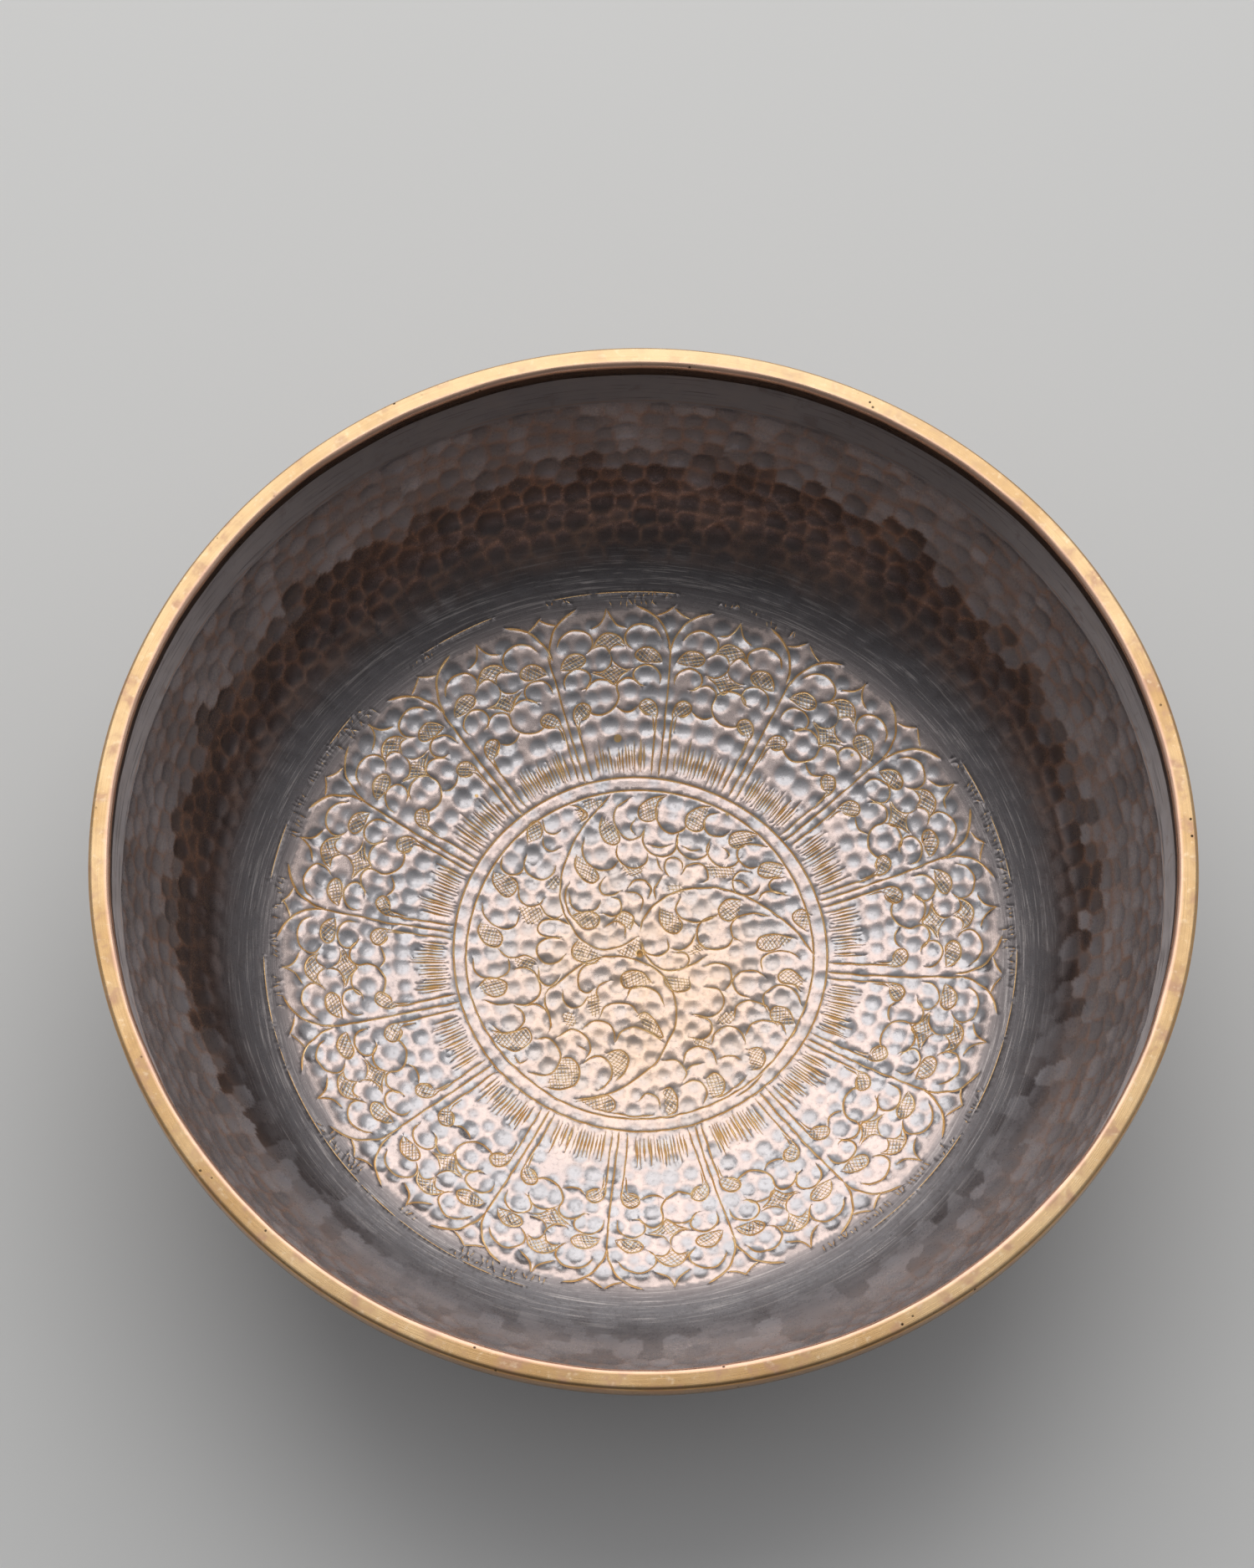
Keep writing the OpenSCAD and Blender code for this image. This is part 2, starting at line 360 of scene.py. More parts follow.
SCALLOPS = [
    [(-3.7, 47.9), (-7.6, 45.2), (-8.7, 41.1), (-7.1, 37.3), (-3.7, 35.1), (-0.7, 36.2), (0.6, 38.8)],
    [(6.7, 48.7), (4.3, 47.1), (3.5, 42.9), (5.2, 39), (8.4, 37.3), (11.6, 38.3), (12.7, 40)],
    [(21.8, 43.8), (18.8, 43.2), (17.6, 40.2), (19.4, 37.3), (23, 36.8), (25.2, 38.1)],
    [(0.4, 38.1), (0, 34.4), (2.2, 31), (6, 29.9), (9, 31.4), (10.2, 34.4), (9.7, 37)],
    [(10.5, 37.9), (9.9, 33.6), (12.1, 30.6), (15.7, 29.6), (18.7, 31), (19.6, 34.7)],
    [(19.6, 35.7), (18.7, 32.7), (20.3, 29.1), (23.3, 27.2), (26.9, 28), (28.5, 30.6)],
    [(36.3, 33.6), (33.6, 34.4), (29.9, 34.4), (27.6, 32.3), (28.4, 29.1), (31.2, 27.3), (34, 27.8)],
    [(41.4, 24.3), (38.5, 24), (37.1, 22), (38.7, 20), (41.8, 19.7)],
    [(31.7, 26.3), (28.4, 26), (26.6, 23.7), (26.9, 20.3), (29.3, 18.8), (32.9, 19.4), (34.5, 21.5)],
    [(-17, 34.7), (-17.6, 31.4), (-16.1, 27.6), (-12.7, 25.4), (-9, 26), (-7, 28.4)],
    [(-7.3, 33.2), (-7.5, 29.9), (-5.2, 26.9), (-1.5, 26.4), (1.1, 28), (1.6, 30.8)],
    [(8.2, 23.5), (6.6, 26.1), (7.1, 29), (9.7, 29.9), (11.6, 28.2), (11.6, 25.8)],
    [(11.6, 24.6), (13.1, 27.5), (16.1, 28.4), (18.7, 26.7), (19.3, 23.7), (17.9, 22.6)],
    [(-33.6, 29.7), (-34.4, 26.1), (-32.9, 23.2), (-29.1, 21.7), (-26.1, 23.5), (-25.2, 26.3)],
    [(-40.7, 28.2), (-41.1, 24.8), (-38.2, 22.8), (-35.3, 23.9), (-34.4, 26.1)],
    [(-29.3, 35), (-28.8, 32.1), (-26.5, 30.6), (-24.1, 31.7)],
    [(-29.5, 40), (-28.5, 36.7), (-26.1, 35.8), (-24, 36.9)],
    [(-36, 20.2), (-35.3, 15.8), (-32.7, 13.4), (-29.7, 14.2), (-28.2, 16.6)],
    [(-46.2, 14), (-45.6, 10.3), (-42.9, 7.5), (-39.6, 6.3), (-36.3, 7.5), (-35.3, 11.2)],
    [(-29.7, 14.8), (-27.6, 11.2), (-24.6, 10), (-22.7, 11.2)],
    [(-20.5, 8.2), (-24.6, 9.7), (-28.2, 9.3), (-29.9, 6.7), (-28.2, 4.5), (-22.8, 4.1)],
    [(-22.9, 3.7), (-26.1, 4.1), (-29.1, 2.5), (-29.9, -0.7), (-27.6, -3.4), (-23.9, -3.4), (-21.5, -0.7)],
    [(-41.2, 0.4), (-38.5, -1.9), (-35.8, -2.4), (-32.9, -1.5), (-30, -3)],
    [(-48.1, -3), (-47.6, -6.9), (-44.7, -9), (-40.3, -8.6), (-37.6, -6), (-38.1, -2.1)],
    [(-29.1, -5.1), (-28.7, -9), (-26.1, -10.6), (-23.9, -9.1), (-22.9, -7.9)],
    [(-36.4, -6), (-32.7, -5.2), (-29.9, -7.2), (-28.4, -11.2), (-29.1, -14.3), (-32, -16.4), (-36.4, -16.4)],
    [(-41.8, -23.3), (-38.8, -25.5), (-35.1, -24.8), (-32.7, -21.7), (-33.5, -18.7), (-35.8, -17)],
    [(-33.2, -17), (-29.1, -16.3), (-26.1, -18.7), (-24.9, -22)],
    [(-29.3, -27), (-26, -26.4), (-23.2, -28.4), (-22, -32.1), (-23.2, -35.8), (-26.1, -37.8), (-31, -37.3)],
    [(-23.2, -26.3), (-18.8, -23.6), (-14.9, -25.8), (-13.4, -29.3), (-14.7, -32.3)],
    [(-16.1, -23.3), (-12.7, -20.9), (-9, -21.3), (-6.7, -24), (-6.6, -27.3)],
    [(-15.3, -33.8), (-11.9, -31.4), (-8.2, -32.9), (-7, -36.6), (-8.8, -40.3), (-11.2, -42)],
    [(-6.4, -27), (-4.5, -23.6), (-0.7, -22.4), (3.7, -23.9), (6.9, -26.3)],
    [(-10.9, -19.6), (-9.6, -16.4), (-6, -15.3), (-2.1, -15.8), (-0.1, -18.4)],
    [(-3.3, -13.6), (-2.1, -10.6), (1.5, -10.1), (5.4, -11.7), (7.5, -15.8)],
    [(-13.1, -3.5), (-16.1, -4.6), (-17.6, -7.6), (-17.1, -11.2), (-14.8, -12.4), (-12.9, -10.9)],
    [(-22, -11.8), (-21.7, -14.9), (-19.4, -16.9), (-16.4, -16.4), (-14.5, -13.3)],
    [(-8.2, -8.4), (-11.2, -9.7), (-12.3, -12.3), (-11.2, -14.6)],
    [(11.6, 17.6), (10.1, 14.2), (11.9, 11.2), (15.7, 10.1), (19.4, 10.8), (22.6, 12.8)],
    [(22.3, 12.1), (18.7, 11.2), (16.4, 8.2), (17.3, 3.7), (20.9, 1.9), (25.4, 2.9), (27, 6.1)],
    [(37.3, 12.5), (33.6, 13.4), (29.1, 12.7), (26.3, 9.7), (26.9, 6), (29, 4.6)],
    [(46.2, -0.1), (42.6, 1.8), (38.2, 1.4), (35.2, -0.9), (35.5, -4.6)],
    [(36.3, -6.1), (32.9, -4.1), (29.1, -4.9), (27, -7.5), (28.5, -11.2), (32.1, -12.7)],
    [(36.9, -16.6), (35.9, -12.1), (38.8, -9), (42.6, -9), (45.6, -11.2), (46.8, -14.5)],
    [(27.6, -18.8), (28.4, -14.9), (32.1, -13.4), (36.6, -14.6), (38.2, -17.3)],
    [(18.5, -3.4), (22.4, -2.3), (26.1, -3.7), (26.6, -7.5), (24.8, -10.5)],
    [(19.3, -9.7), (23.2, -10.5), (24.7, -13.6), (23.2, -17.2), (20.2, -18.7), (15.3, -17.9)],
    [(16.4, -18.7), (20.2, -19.4), (21.4, -22.6), (18.7, -25.4), (14.6, -25)],
    [(21.2, -27), (22.4, -23.3), (26.1, -21.3), (29.9, -23.2), (31.1, -26.7)],
    [(30.9, -24), (32.9, -20.3), (36.6, -19.4), (41.1, -20.3), (42.7, -23.3)],
    [(13.3, -33), (14.2, -29.3), (17.9, -27.6), (21.7, -29.2), (22.9, -33)],
    [(23, -31.5), (26.9, -30.2), (30, -31.5)],
    [(0.6, -45), (3, -42.3), (6, -43.3), (7.2, -46.5)],
    [(13.3, -39.7), (15.7, -38.1), (18.7, -38.8), (20.3, -41.8), (19.4, -45)],
    [(7.3, -32.3), (11.2, -32.1), (14.2, -35.3), (13.4, -38.2)],
    [(0.5, 3.7), (1.5, 0.6), (5.2, -0.7), (8.2, 1.5), (7.8, 4.5)],
    [(8.8, 1.9), (11.9, 1.5), (14.9, 3.7), (16.1, 7.1)],
    [(9.6, 0.6), (12.7, 0.7), (14.3, -1.5), (13.1, -3.9), (10.1, -4.6)],
    [(34, 17.2), (35.3, 19.4), (38.5, 20.3), (42.6, 18.7)],
    [(-21.1, 18.1), (-20.2, 14.2), (-17.2, 12.2), (-13.4, 13), (-11.8, 15.3)],
    [(-11.1, 23.2), (-12.3, 20.2), (-11.2, 17.9), (-8.2, 17.8), (-5.8, 19.4)],
    [(-8.8, 17), (-6.3, 16.3), (-5.8, 12.7), (-8.2, 11.1), (-11.4, 12.1)],
    [(-4.6, 18.7), (-1.5, 18.7), (0.5, 16.4), (0, 13.1)],
    [(-3.9, 20), (-2.2, 22.4), (0.7, 22.4), (2.8, 20.2), (2.2, 16.9)],
    [(-10.6, 8.1), (-7.5, 9.7), (-4.5, 8.2), (-4.6, 4.9)],
    [(6, 23.9), (3.7, 20.2), (4.3, 16.4)],
    [(4.1, 29.9), (4.9, 26.9), (6, 25.4)],
    [(18.7, -32.9), (15.7, -33.6), (13.8, -35.5)],
    [(-3.7, 8.2), (-2.2, 9.7), (-0.4, 8.2)],
    [(-17.2, -28.4), (-14.2, -29.9)],
    [(31.4, -36.6), (27.6, -40.3), (23.2, -43.3)],
    [(36.2, -35.8), (32.9, -39.6), (29.1, -42.6)],
    [(-31.4, -33.6), (-33.6, -34.4), (-35.1, -32.1)],
    [(-44.8, -15.7), (-41.1, -16.8), (-36.6, -16.4)],
    [(-6.7, -48.5), (-0.7, -49.4), (5.2, -48.7)],
    [(46.3, -18.7), (44.8, -23.2), (41.8, -26.9)],
    [(1.5, 33.6), (5.2, 32.9), (8.2, 33.6)],
    [(23.2, 33.6), (25.4, 31.4), (24.6, 29.9)],
    [(11.6, 33.6), (14.2, 32.1), (16.8, 32.9)],
    [(-2.2, 41.8), (-3.7, 38.8), (-2.2, 36.6)],
    [(-21.7, 44.8), (-18.7, 44.4), (-17.6, 42.6), (-18.3, 40.3)],
    [(26.1, 23.2), (29.1, 23.2), (31.4, 20.9)],
]
LEAVES = [
    [(6.3, 48.8), (2.2, 47.9), (-1.1, 45.2), (-1.3, 42.1), (1.1, 40.6), (3.7, 41.8), (4.2, 44.8)],
    [(19.6, 45.7), (15.7, 45.2), (12.8, 42.9), (12.6, 39.6), (15.3, 38), (17.6, 39.1), (17.9, 42.1)],
    [(33.8, 37.2), (29.1, 38.4), (25.8, 37.3), (25.2, 34.7), (27.3, 33.2), (30, 33.9)],
    [(41.3, 27.8), (37.3, 29.1), (34.4, 28.1), (33.9, 25.4), (36.6, 24.2), (40.5, 24.9)],
    [(-12.1, 42), (-12.8, 38.1), (-11.2, 34.4), (-8.2, 33.2), (-6.7, 35.1), (-8.1, 38.5)],
    [(-19.2, 29.9), (-19.6, 26.1), (-17.2, 22.4), (-14.2, 21.2), (-12.6, 23.2), (-14.2, 26.1)],
    [(-43.1, 23.9), (-43.2, 20.2), (-40.1, 16.4), (-37.6, 16.7), (-36.1, 20.2), (-38.8, 22.6)],
    [(-46.3, 8.2), (-47.1, 5.1), (-44.8, 1.5), (-41.1, 0.7), (-39.9, 3.7), (-41.8, 6.1)],
    [(-20.2, 11.1), (-17.8, 12), (-14.2, 12.4), (-11.9, 10.5), (-13, 7.8), (-16.4, 7.4), (-19, 9)],
    [(5.5, 14.3), (5.5, 10.5), (7.5, 7.1), (10.5, 6.6), (12, 9), (10.6, 11.9)],
    [(29.3, 17.2), (25.4, 17.6), (22.7, 14.9), (23.2, 11.9), (26.1, 10.8), (28.5, 12.7)],
    [(48.2, 7.9), (44.4, 11.1), (44.4, 13.7), (46.7, 14.6), (49.3, 12.7)],
    [(44.7, 5.8), (38.8, 7.1), (34.7, 6), (33.9, 3), (36.6, 1.7), (40.5, 2.8)],
    [(14.5, -7.3), (14.6, -10.3), (11.2, -11.4), (8.2, -9.7), (6.7, -6.7)],
    [(47.8, -7.1), (43.3, -3.7), (40.3, -5.5), (41.1, -7.9), (44.7, -8.4), (46.5, -10.5)],
    [(45, -20.3), (43.3, -16.1), (39.2, -15.2), (38, -17.9), (40.3, -21.1)],
    [(-42.2, -24.8), (-38.8, -25.5), (-34.4, -24.5), (-32, -23.8), (-30.5, -26.9), (-32.9, -29.9), (-35.8, -30.7), (-40.3, -28.4)],
    [(-22, -32.6), (-18.7, -32.4), (-16.3, -35.8), (-17.6, -40.3), (-21.7, -41.9), (-25.8, -41.5)],
    [(-8.7, -30.6), (-5.2, -29.4), (-2.5, -31.7), (-3.3, -35.8), (-5.7, -38.8)],
    [(-17.2, -44.8), (-12.7, -44.1), (-8.2, -43.2), (-5.9, -45.9), (-7.5, -48.2), (-12.3, -47.4)],
    [(7.4, -41.2), (9.7, -40.3), (11.7, -43.3), (11.6, -47.1), (9, -48.6)],
    [(19.7, -37.5), (22.4, -35.5), (25.1, -38.1), (24.6, -41.8), (21.7, -43.4)],
    [(31.5, -28.5), (34.7, -27.6), (36.7, -29.9), (35.8, -33.6), (32.9, -34.5)],
    [(3.9, -9.1), (0.7, -5.7), (-3.7, -5.6), (-5.3, -7.9), (-3.7, -10.6), (0.7, -10.2)],
    [(-0.4, -18.8), (2.2, -17.9), (5.2, -20.9), (7.2, -25.5), (3, -24)],
    [(-46.3, -11.6), (-43.3, -8.8), (-38.4, -10.1), (-38.8, -13.4), (-41.8, -14.6), (-44.8, -13.4)],
    [(-17.9, 3.7), (-19.6, 0.7), (-18.7, -2.2), (-14.2, -3.7), (-11.1, -1.5)],
    [(-33.6, 32.7), (-33.7, 37.3), (-31.4, 39.7), (-29.4, 37.3), (-30.2, 34.2)],
    [(-8.2, 9.6), (-5.2, 12.8), (-2.2, 11.1), (-2.8, 7.3)],
    [(-19.8, 43.2), (-17.8, 43.8), (-16.4, 41.8), (-18.2, 39.9)],
]
GROUND = [
    [(-36, 13.4), (-29.9, 13.4), (-28.2, 10.5), (-30.2, 8.1), (-33.6, 8.2)],
    [(-7.3, -0.1), (-0.4, 4.3), (-0.3, -0.1), (-3.4, -1.5)],
    [(17.9, 29.7), (20.3, 27.9), (27, 27.2), (26.7, 24.6), (22, 23.7), (19.4, 25.4)],
    [(-7.3, 27.2), (-3.7, 26.3), (0.9, 27.3), (-0.7, 23.9), (-3.7, 23.7)],
    [(-36.6, -2.8), (-32.1, -2.2), (-29.9, -3.7), (-31.4, -5.4), (-35.1, -5.2)],
    [(-15.3, -13.4), (-11.8, -12.7), (-11.1, -18.7), (-13.3, -19.6)],
    [(22.4, -18.7), (27, -16.3), (27.8, -19.6), (23.9, -21.1)],
    [(14.6, -25.1), (19.4, -25.5), (21.4, -27), (17.9, -27.7)],
    [(6.7, 20.9), (9.7, 21.7), (12.8, 20.2), (10.5, 18.2)],
    [(14, 0.6), (17.6, 4.5), (18.8, 2.2), (15.7, -0.1)],
    [(-22, -18.7), (-19.3, -17.9), (-17.8, -21.7), (-20.3, -23.3)],
    [(-18.1, 46.3), (-12.5, 47.2), (-12.7, 44.8), (-16.6, 43.9)],
    [(-28.2, 20.9), (-24.6, 23.2), (-24, 20.2), (-26.5, 18.8)],
]


def medallion():
    """Scrolling vines, scale-like lobes hung off them, and hatched leaves; points are mm from the middle."""
    ring_cut(MED_R, 0.29, 0.28, seed=3)
    ring_cut(MED_IN, 0.28, 0.26, seed=4)
    for v in VINES:
        cut(v, 0.37, 2.2, 0.8, 0.06)
    for v in SCALLOPS:
        cut(v, 0.33, 1.6, 0.8, 0.05)
    for i, v in enumerate(LEAVES):
        cut(v, 0.33, 1.4, 0.8, 0.04)
        hatch(smooth([*v, v[0]], 0.8), 25 + 47 * i % 180, 0.95)
    for i, v in enumerate(GROUND):
        hatch(smooth([*v, v[0]], 0.8), 40 + 31 * i % 180, 0.95)


petal_ring()
dashes()
medallion()
ring_cut(RING_R + 1.1, 0.12, 0.30, 0.50, 1500, 21)
for x, y, r in ((-8.2, 65.5, 1.15), (24.5, 43.5, 0.55), (-49, 46, 0.55), (60.5, 60.5, 0.5)):
    SPOTS.append((x, y, r))
PUNCH_R, PUNCH_D = 0.95, 0.9

# ------------------------------------------------------------------ floor mesh: ground points and cut lines in one triangulation
EDGE_R, COLS = 110.0, 960
STEP = 0.82


def ribbon(p, w, taper):
    """The two edges of a cut line, and its half width along it."""
    d = np.gradient(p, axis=0)
    n = np.stack([-d[:, 1], d[:, 0]], 1)
    n /= np.maximum(1e-9, np.hypot(*n.T))[:, None]
    s = np.concatenate([[0], np.cumsum(np.hypot(*np.diff(p, axis=0).T))])
    ww = np.full(len(p), w)
    if taper > 0:
        reach = min(taper, s[-1] * 0.5)
        ww = w * np.clip(np.minimum(s, s[-1] - s) / max(reach, 1e-6), 0.12, 1) ** 0.8
    return p + n * ww[:, None], p - n * ww[:, None], ww


def floor_mesh():
    pts, edges = [], []
    th = np.arange(COLS) * 2 * PI / COLS
    pts.append(np.stack([EDGE_R * np.cos(th), EDGE_R * np.sin(th)], 1))
    edges.append(np.stack([np.arange(COLS), (np.arange(COLS) + 1) % COLS], 1))
    count = COLS
    fine = {0: [], 1: []}
    grid_n = int(2 * EDGE_R / 0.5) + 8
    busy = np.zeros((grid_n, grid_n), bool)

    def cell(q):
        return np.clip(((q + EDGE_R) / 0.5 + 4).astype(int), 0, grid_n - 1)

    for p, w, taper, kind in STROKES:
        a, b, ww = ribbon(p, w, taper)
        n = len(p)
        for rail in (a, p, b):
            pts.append(rail)
            i = np.arange(count, count + n - 1)
            edges.append(np.stack([i, i + 1], 1))
            count += n
        # closed ends
        if n > 1:
            edges.append(np.array([[count - 3 * n, count - n], [count - 2 * n - 1, count - 1]]))
        s = np.concatenate([[0], np.cumsum(np.hypot(*np.diff(p, axis=0).T))])
        q = np.linspace(0, s[-1], max(2, int(s[-1] / 0.12)))
        f = np.stack([np.interp(q, s, p[:, 0]), np.interp(q, s, p[:, 1]), np.interp(q, s, ww)], 1)
        fine[kind].append(f)
        c = cell(f[:, :2])
        for dx in (-1, 0, 1):
            for dy in (-1, 0, 1):
                busy[c[:, 0] + dx, c[:, 1] + dy] = True
    for x, y, r in [*SPOTS, (0.0, 0.0, PUNCH_R), (0.0, 0.0, PUNCH_R * 1.35)]:
        n = 20
        t = np.arange(n) * 2 * PI / n
        pts.append(np.stack([x + r * np.cos(t), y + r * np.sin(t)], 1))
        edges.append(np.stack([count + np.arange(n), count + (np.arange(n) + 1) % n], 1))
        count += n
        c = cell(pts[-1])
        busy[c[:, 0], c[:, 1]] = True
    fine = {k: np.vstack(v) for k, v in fine.items()}
    # ground: a jittered triangular grid, kept off the cut lines
    rng = np.random.default_rng(5)
    ny = int(2 * EDGE_R / (STEP * 0.866)) + 2
    nx = int(2 * EDGE_R / STEP) + 2
    gy, gx = np.meshgrid(np.arange(ny), np.arange(nx), indexing="ij")
    g = np.stack([(gx + 0.5 * (gy % 2)) * STEP - EDGE_R, gy * STEP * 0.866 - EDGE_R], -1).reshape(-1, 2)
    g += rng.uniform(-0.12, 0.12, g.shape) * STEP
    c = cell(g)
    g = g[(np.hypot(*g.T) < EDGE_R - 0.6 * STEP) & ~busy[c[:, 0], c[:, 1]] & (np.hypot(*g.T) > 0.3)]
    pts.append(g)
    pts.append(np.zeros((1, 2)))
    pts = np.vstack(pts)
    edges = np.vstack(edges)
    got = delaunay_2d_cdt([Vector(p) for p in pts.tolist()], edges.tolist(), [], 0, 1e-5, True)
    v2 = np.array([tuple(v) for v in got[0]])
    tri = np.array(got[2])
    src = got[3]
    rim_ids = np.full(COLS, -1)
    for i, ids in enumerate(src):
        for j in ids:
            if j < COLS:
                rim_ids[j] = i
    return v2, tri, rim_ids, fine, busy, cell


def depth_of(q, fine, busy, cell):
    """Depth of the cut at each point, and whether it lies in a cut."""
    dep = np.zeros(len(q))
    inside = np.zeros(len(q), bool)
    c = cell(q)
    near = np.nonzero(busy[c[:, 0], c[:, 1]])[0]
    for kind, share in ((0, 0.74), (1, 0.60)):
        f = fine[kind]
        tree = KDTree(len(f))
        for i, (x, y, _) in enumerate(f.tolist()):
            tree.insert((x, y, 0), i)
        tree.balance()
        ids = np.empty(len(near), np.int64)
        dist = np.empty(len(near))
        for j, (x, y) in enumerate(q[near].tolist()):
            _, ids[j], dist[j] = tree.find((x, y, 0))
        w = f[ids, 2]
        k = np.clip(1 - dist / w, 0, 1)
        dep[near] = np.maximum(dep[near], k * w * share)
        inside[near] |= dist < w * 0.985
    return dep, inside


v2, tri, rim_ids, fine, busy, cell = floor_mesh()
n_floor = len(v2)
cut_depth, _ = depth_of(v2, fine, busy, cell)
mid = v2[tri].mean(1)
_, is_cut = depth_of(mid, fine, busy, cell)
for x, y, r in SPOTS:
    is_cut |= np.hypot(mid[:, 0] - x, mid[:, 1] - y) < r
rr = np.hypot(*v2.T)
punch = np.hypot(*mid.T) < PUNCH_R * 1.35
is_cut = np.where(punch, True, is_cut)
cut_depth = np.where(rr < PUNCH_R * 1.35, 0, cut_depth)
cut_depth = np.maximum(cut_depth, np.clip((PUNCH_R * 1.001 - rr) / PUNCH_R, 0, 1) * PUNCH_D)

# ------------------------------------------------------------------ the rest of the bowl: rows of columns
th = np.arange(COLS) * 2 * PI / COLS
s_edge = float(s_of_r(EDGE_R))
n_in = int(round((S_END - s_edge) / 0.86))
s_in = s_edge + (S_END - s_edge) * np.arange(1, n_in + 1) / n_in
OUT_R = 112.0
a_top = PA[-1]
s_out_end = float(s_of_r(OUT_R - T * math.sin(0.38)))
n_out = int(round((S_END - s_out_end) / 1.55))
s_out = S_END + (s_out_end - S_END) * np.arange(1, n_out + 1) / n_out

rng_in = np.random.default_rng(11)
rng_out = np.random.default_rng(12)
S_SMOOTH0, S_SMOOTH1 = float(s_of_r(102.5)), float(s_of_z(21.0))
S_BAND = float(s_of_z(72.6))
dents_floor = rows_of_dents(rng_in, 2.5, S_SMOOTH0, 5.1, 5.5, 0.44, 2.90, 0.56, 0.03, 1)
dents_wall = rows_of_dents(rng_in, S_SMOOTH1, S_BAND - 1.5, 5.2, 6.5, 0.50, 4.2, 0.60, 0.0, 1)
dents_out = rows_of_dents(rng_out, 6.0, S_END - 9.0, 5.6, 6.6, 0.55, 4.5, 0.52, 0.0, -1)

# inside: floor points, then the wall
fr = np.hypot(*v2.T)
fth = np.arctan2(v2[:, 1], v2[:, 0])
fs = s_of_r(fr)
base_floor = np.stack([v2[:, 0], v2[:, 1], floor_z(fr)], 1)
beyond = fr > FR
base_floor[beyond, 2] = np.interp(fr[beyond], PR, PZ)
S_w, T_w = np.meshgrid(s_in, th, indexing="ij")
r_w, z_w, a_w = at(S_w)
base_wall = np.stack([r_w * np.cos(T_w), r_w * np.sin(T_w), z_w], -1).reshape(-1, 3)
inner = np.vstack([base_floor, base_wall])
in_s = np.concatenate([fs, S_w.ravel()])
in_th = np.concatenate([fth, T_w.ravel()])
_, in_z, in_a = at(in_s)
in_n = np.stack([-np.sin(in_a) * np.cos(in_th), -np.sin(in_a) * np.sin(in_th), np.cos(in_a)], 1)
h, gap, m1, who_f = dented(inner, dents_floor, 0.05, 1.2)
h_w, gap_w, m1_w, who_w = dented(inner, dents_wall, 0.06, 1.0)
h, gap, m1 = h + h_w, np.where(m1_w < 0, gap_w, gap), np.minimum(m1, m1_w)
fade = np.clip((S_BAND + 0.8 - in_s) / 2.6, 0, 1)
# a hand-worked surface is never quite true: slow waves, none at the ring
sw = waves(np.random.default_rng(30), 8, 2, 11)
sw2 = waves(np.random.default_rng(31), 8, 3, 14)
slow = 0.16 * wave(sw, in_th) * np.clip(in_s / 60, 0, 1) + 0.12 * wave(sw2, in_th + in_s * 0.02) * np.sin(in_s * 0.11)
slow *= np.clip((S_END - in_s) / 12, 0, 1)
# faint steps left by turning, in the smooth bands
turned = 0.035 * np.sin(in_s * 2.6 + 0.5 * wave(sw, in_th)) * np.clip(1 - np.abs(in_s - (S_END - 8)) / 8, 0, 1)
disp = h * fade + slow + turned
disp[:n_floor] -= cut_depth
inner_pos = inner + in_n * disp[:, None]
ridge_w = np.where(in_s < S_SMOOTH0, 0.10, 0.24)
ridge_in = np.where(in_s < S_SMOOTH0, np.clip(1 + m1 / 0.11, 0, 1), np.exp(-(gap / ridge_w) ** 2) * (m1 < -0.005)) * fade
# the turn-up has hardly any marks, so no worn ridges either
turn_up = np.clip((np.hypot(inner[:, 0], inner[:, 1]) - 119.0 + 5.0 * np.sin(in_th)) / 9.0, 0, 1)
ridge_in = np.where(in_s < S_SMOOTH0, ridge_in, ridge_in * turn_up)
deep_in = np.clip(-m1 / 0.42, 0, 1) * fade
# each mark took the patina a little differently; the marks above a rough line on the wall are greyer, partly the
# patina's own tone and partly painted reflection of the light the upper wall catches
one_rng = np.random.default_rng(71)
tone_f, tone_w, tone_o = (one_rng.uniform(0, 1, len(d)) for d in (dents_floor, dents_wall, dents_out))
cell_in = np.where(who_w >= 0, tone_w[who_w], np.where(who_f >= 0, tone_f[who_f], 0.5))
wall_c = np.array([d[:3] for d in dents_wall])


def grey_sheen_line(turn):
    """Height where the brown gives way to the grey upper zone, partly patina and partly painted reflection: high at
    the back and left, low at the front, as the light falls.
    """
    north, west = np.sin(turn), np.clip(-np.cos(turn), 0, 1)
    return 33.0 + 15.0 * np.clip(north, 0, 1) ** 1.3 - 19.0 * np.clip(-north, 0, 1) ** 0.7 + 8.0 * west ** 3



line_c = grey_sheen_line(np.arctan2(wall_c[:, 1], wall_c[:, 0])) + one_rng.normal(0, 2.6, len(wall_c))
grey_c = np.clip((wall_c[:, 2] - line_c + 3.0) / 8.0, 0, 1)
line_v = grey_sheen_line(in_th)
grey_in = np.where(who_w >= 0, grey_c[who_w], np.clip((in_z - line_v + 3.0) / 8.0, 0, 1))

# outside: the wall downwards, then the underside
S_o, T_o = np.meshgrid(s_out, th, indexing="ij")
r_o, z_o, a_o = at(S_o)
out_r, out_z = r_o + T * np.sin(a_o), z_o - T * np.cos(a_o)
base_out = np.stack([out_r * np.cos(T_o), out_r * np.sin(T_o), out_z], -1).reshape(-1, 3)
r_last = float(out_r[-1, 0])
B_STEP = 1.9
rng_b = np.random.default_rng(6)
ny, nx = int(2 * r_last / (B_STEP * 0.866)) + 2, int(2 * r_last / B_STEP) + 2
gy, gx = np.meshgrid(np.arange(ny), np.arange(nx), indexing="ij")
g = np.stack([(gx + 0.5 * (gy % 2)) * B_STEP - r_last, gy * B_STEP * 0.866 - r_last], -1).reshape(-1, 2)
g += rng_b.uniform(-0.1, 0.1, g.shape)
g = g[np.hypot(*g.T) < r_last - 0.7 * B_STEP]
ringp = np.stack([r_last * np.cos(th), r_last * np.sin(th)], 1)
